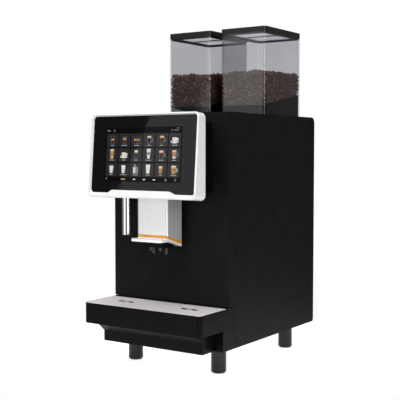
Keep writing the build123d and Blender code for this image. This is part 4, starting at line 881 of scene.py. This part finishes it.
dress(fan_black, "fan_housing", "fan_rotor", "power_switch", "switch_rocker")

# ---------------------------------------------------------------- studio
# Soft light on a plain pale floor. Large lamps stand in front on the left, on the right and above.

floor_size = 1.1
bpy.ops.mesh.primitive_plane_add(size=floor_size, location=(0.0, 0.0, 0.0))
floor = bpy.context.object
floor.name = "floor"
paper, tree, shader, place = finish("paper", (0.9, 0.9, 0.9), 0.9, specular=0.0)
shader.inputs["Emission Color"].default_value = (1.0, 1.0, 1.0, 1.0)
shader.inputs["Emission Strength"].default_value = 0.75
tint(tree, shader, noise(tree, place, 2.0), [(0.3, (0.895, 0.895, 0.895)), (0.7, (0.905, 0.905, 0.905))])
floor.data.materials.append(paper)

scene = bpy.context.scene
scene.view_settings.view_transform = "Standard"
world = bpy.data.worlds.new("studio")
scene.world = world
world.use_nodes = True
sky = world.node_tree
dim_sky = sky.nodes["Background"]
dim_sky.inputs["Color"].default_value = (1.0, 1.0, 1.0, 1.0)
dim_sky.inputs["Strength"].default_value = 0.22
white_sky = sky.nodes.new("ShaderNodeBackground")
white_sky.inputs["Strength"].default_value = 1.0
white_sky.inputs["Color"].default_value = (1.0, 1.0, 1.0, 1.0)
seen = sky.nodes.new("ShaderNodeLightPath")
either = sky.nodes.new("ShaderNodeMixShader")
sky.links.new(seen.outputs["Is Camera Ray"], either.inputs["Fac"])
sky.links.new(dim_sky.outputs["Background"], either.inputs[1])
sky.links.new(white_sky.outputs["Background"], either.inputs[2])
sky.links.new(either.outputs["Shader"], sky.nodes["World Output"].inputs["Surface"])


def lamp(name, place, target, size, power, tilt=0.0):
    """A soft box at place, aimed at target, rolled about its own axis by tilt degrees."""
    light = bpy.data.lights.new(name, "AREA")
    light.shape = "RECTANGLE"
    light.size, light.size_y = size
    light.energy = power
    holder = bpy.data.objects.new(name, light)
    scene.collection.objects.link(holder)
    aim = (Vector(target) - Vector(place)).to_track_quat("-Z", "Y")
    holder.rotation_euler = (aim.to_matrix() @ Matrix.Rotation(math.radians(tilt), 3, "Z")).to_euler()
    holder.location = place
    holder.visible_camera = False
    return holder


lamp("front_left_card", (-0.616, -1.9, 0.697), (-0.616, 0.0, 0.697), (1.4, 2.4), 12.4, -23.0)
lamp("right_box", (2.0, -1.35, 0.75), (0.0, 0.0, 0.5), (0.45, 2.0), 27.0)
lamp("front_key", (-0.2, -1.5, 2.6), (0.0, -0.2, 0.3), (1.8, 1.0), 36.0)
lamp("top_box", (0.0, 0.2, 2.6), (0.0, 0.1, 0.5), (1.6, 1.6), 30.0)

# The camera stands to the right of the machine's front, level with its middle.
camera_place = Vector((1.24135, -1.86337, 0.52694))
camera_heading = 34.034  # degrees to the left of straight ahead
camera_pitch = 3.2005  # degrees down
camera_roll = 0.0107
lens = bpy.data.cameras.new("camera")
lens.sensor_width = 36.0
lens.lens = 78.62
camera = bpy.data.objects.new("camera", lens)
scene.collection.objects.link(camera)
camera.location = camera_place
camera.rotation_euler = (
    Matrix.Rotation(math.radians(camera_heading), 3, "Z")
    @ Matrix.Rotation(math.radians(90.0 - camera_pitch), 3, "X")
    @ Matrix.Rotation(math.radians(camera_roll), 3, "Z")).to_euler()
scene.camera = camera
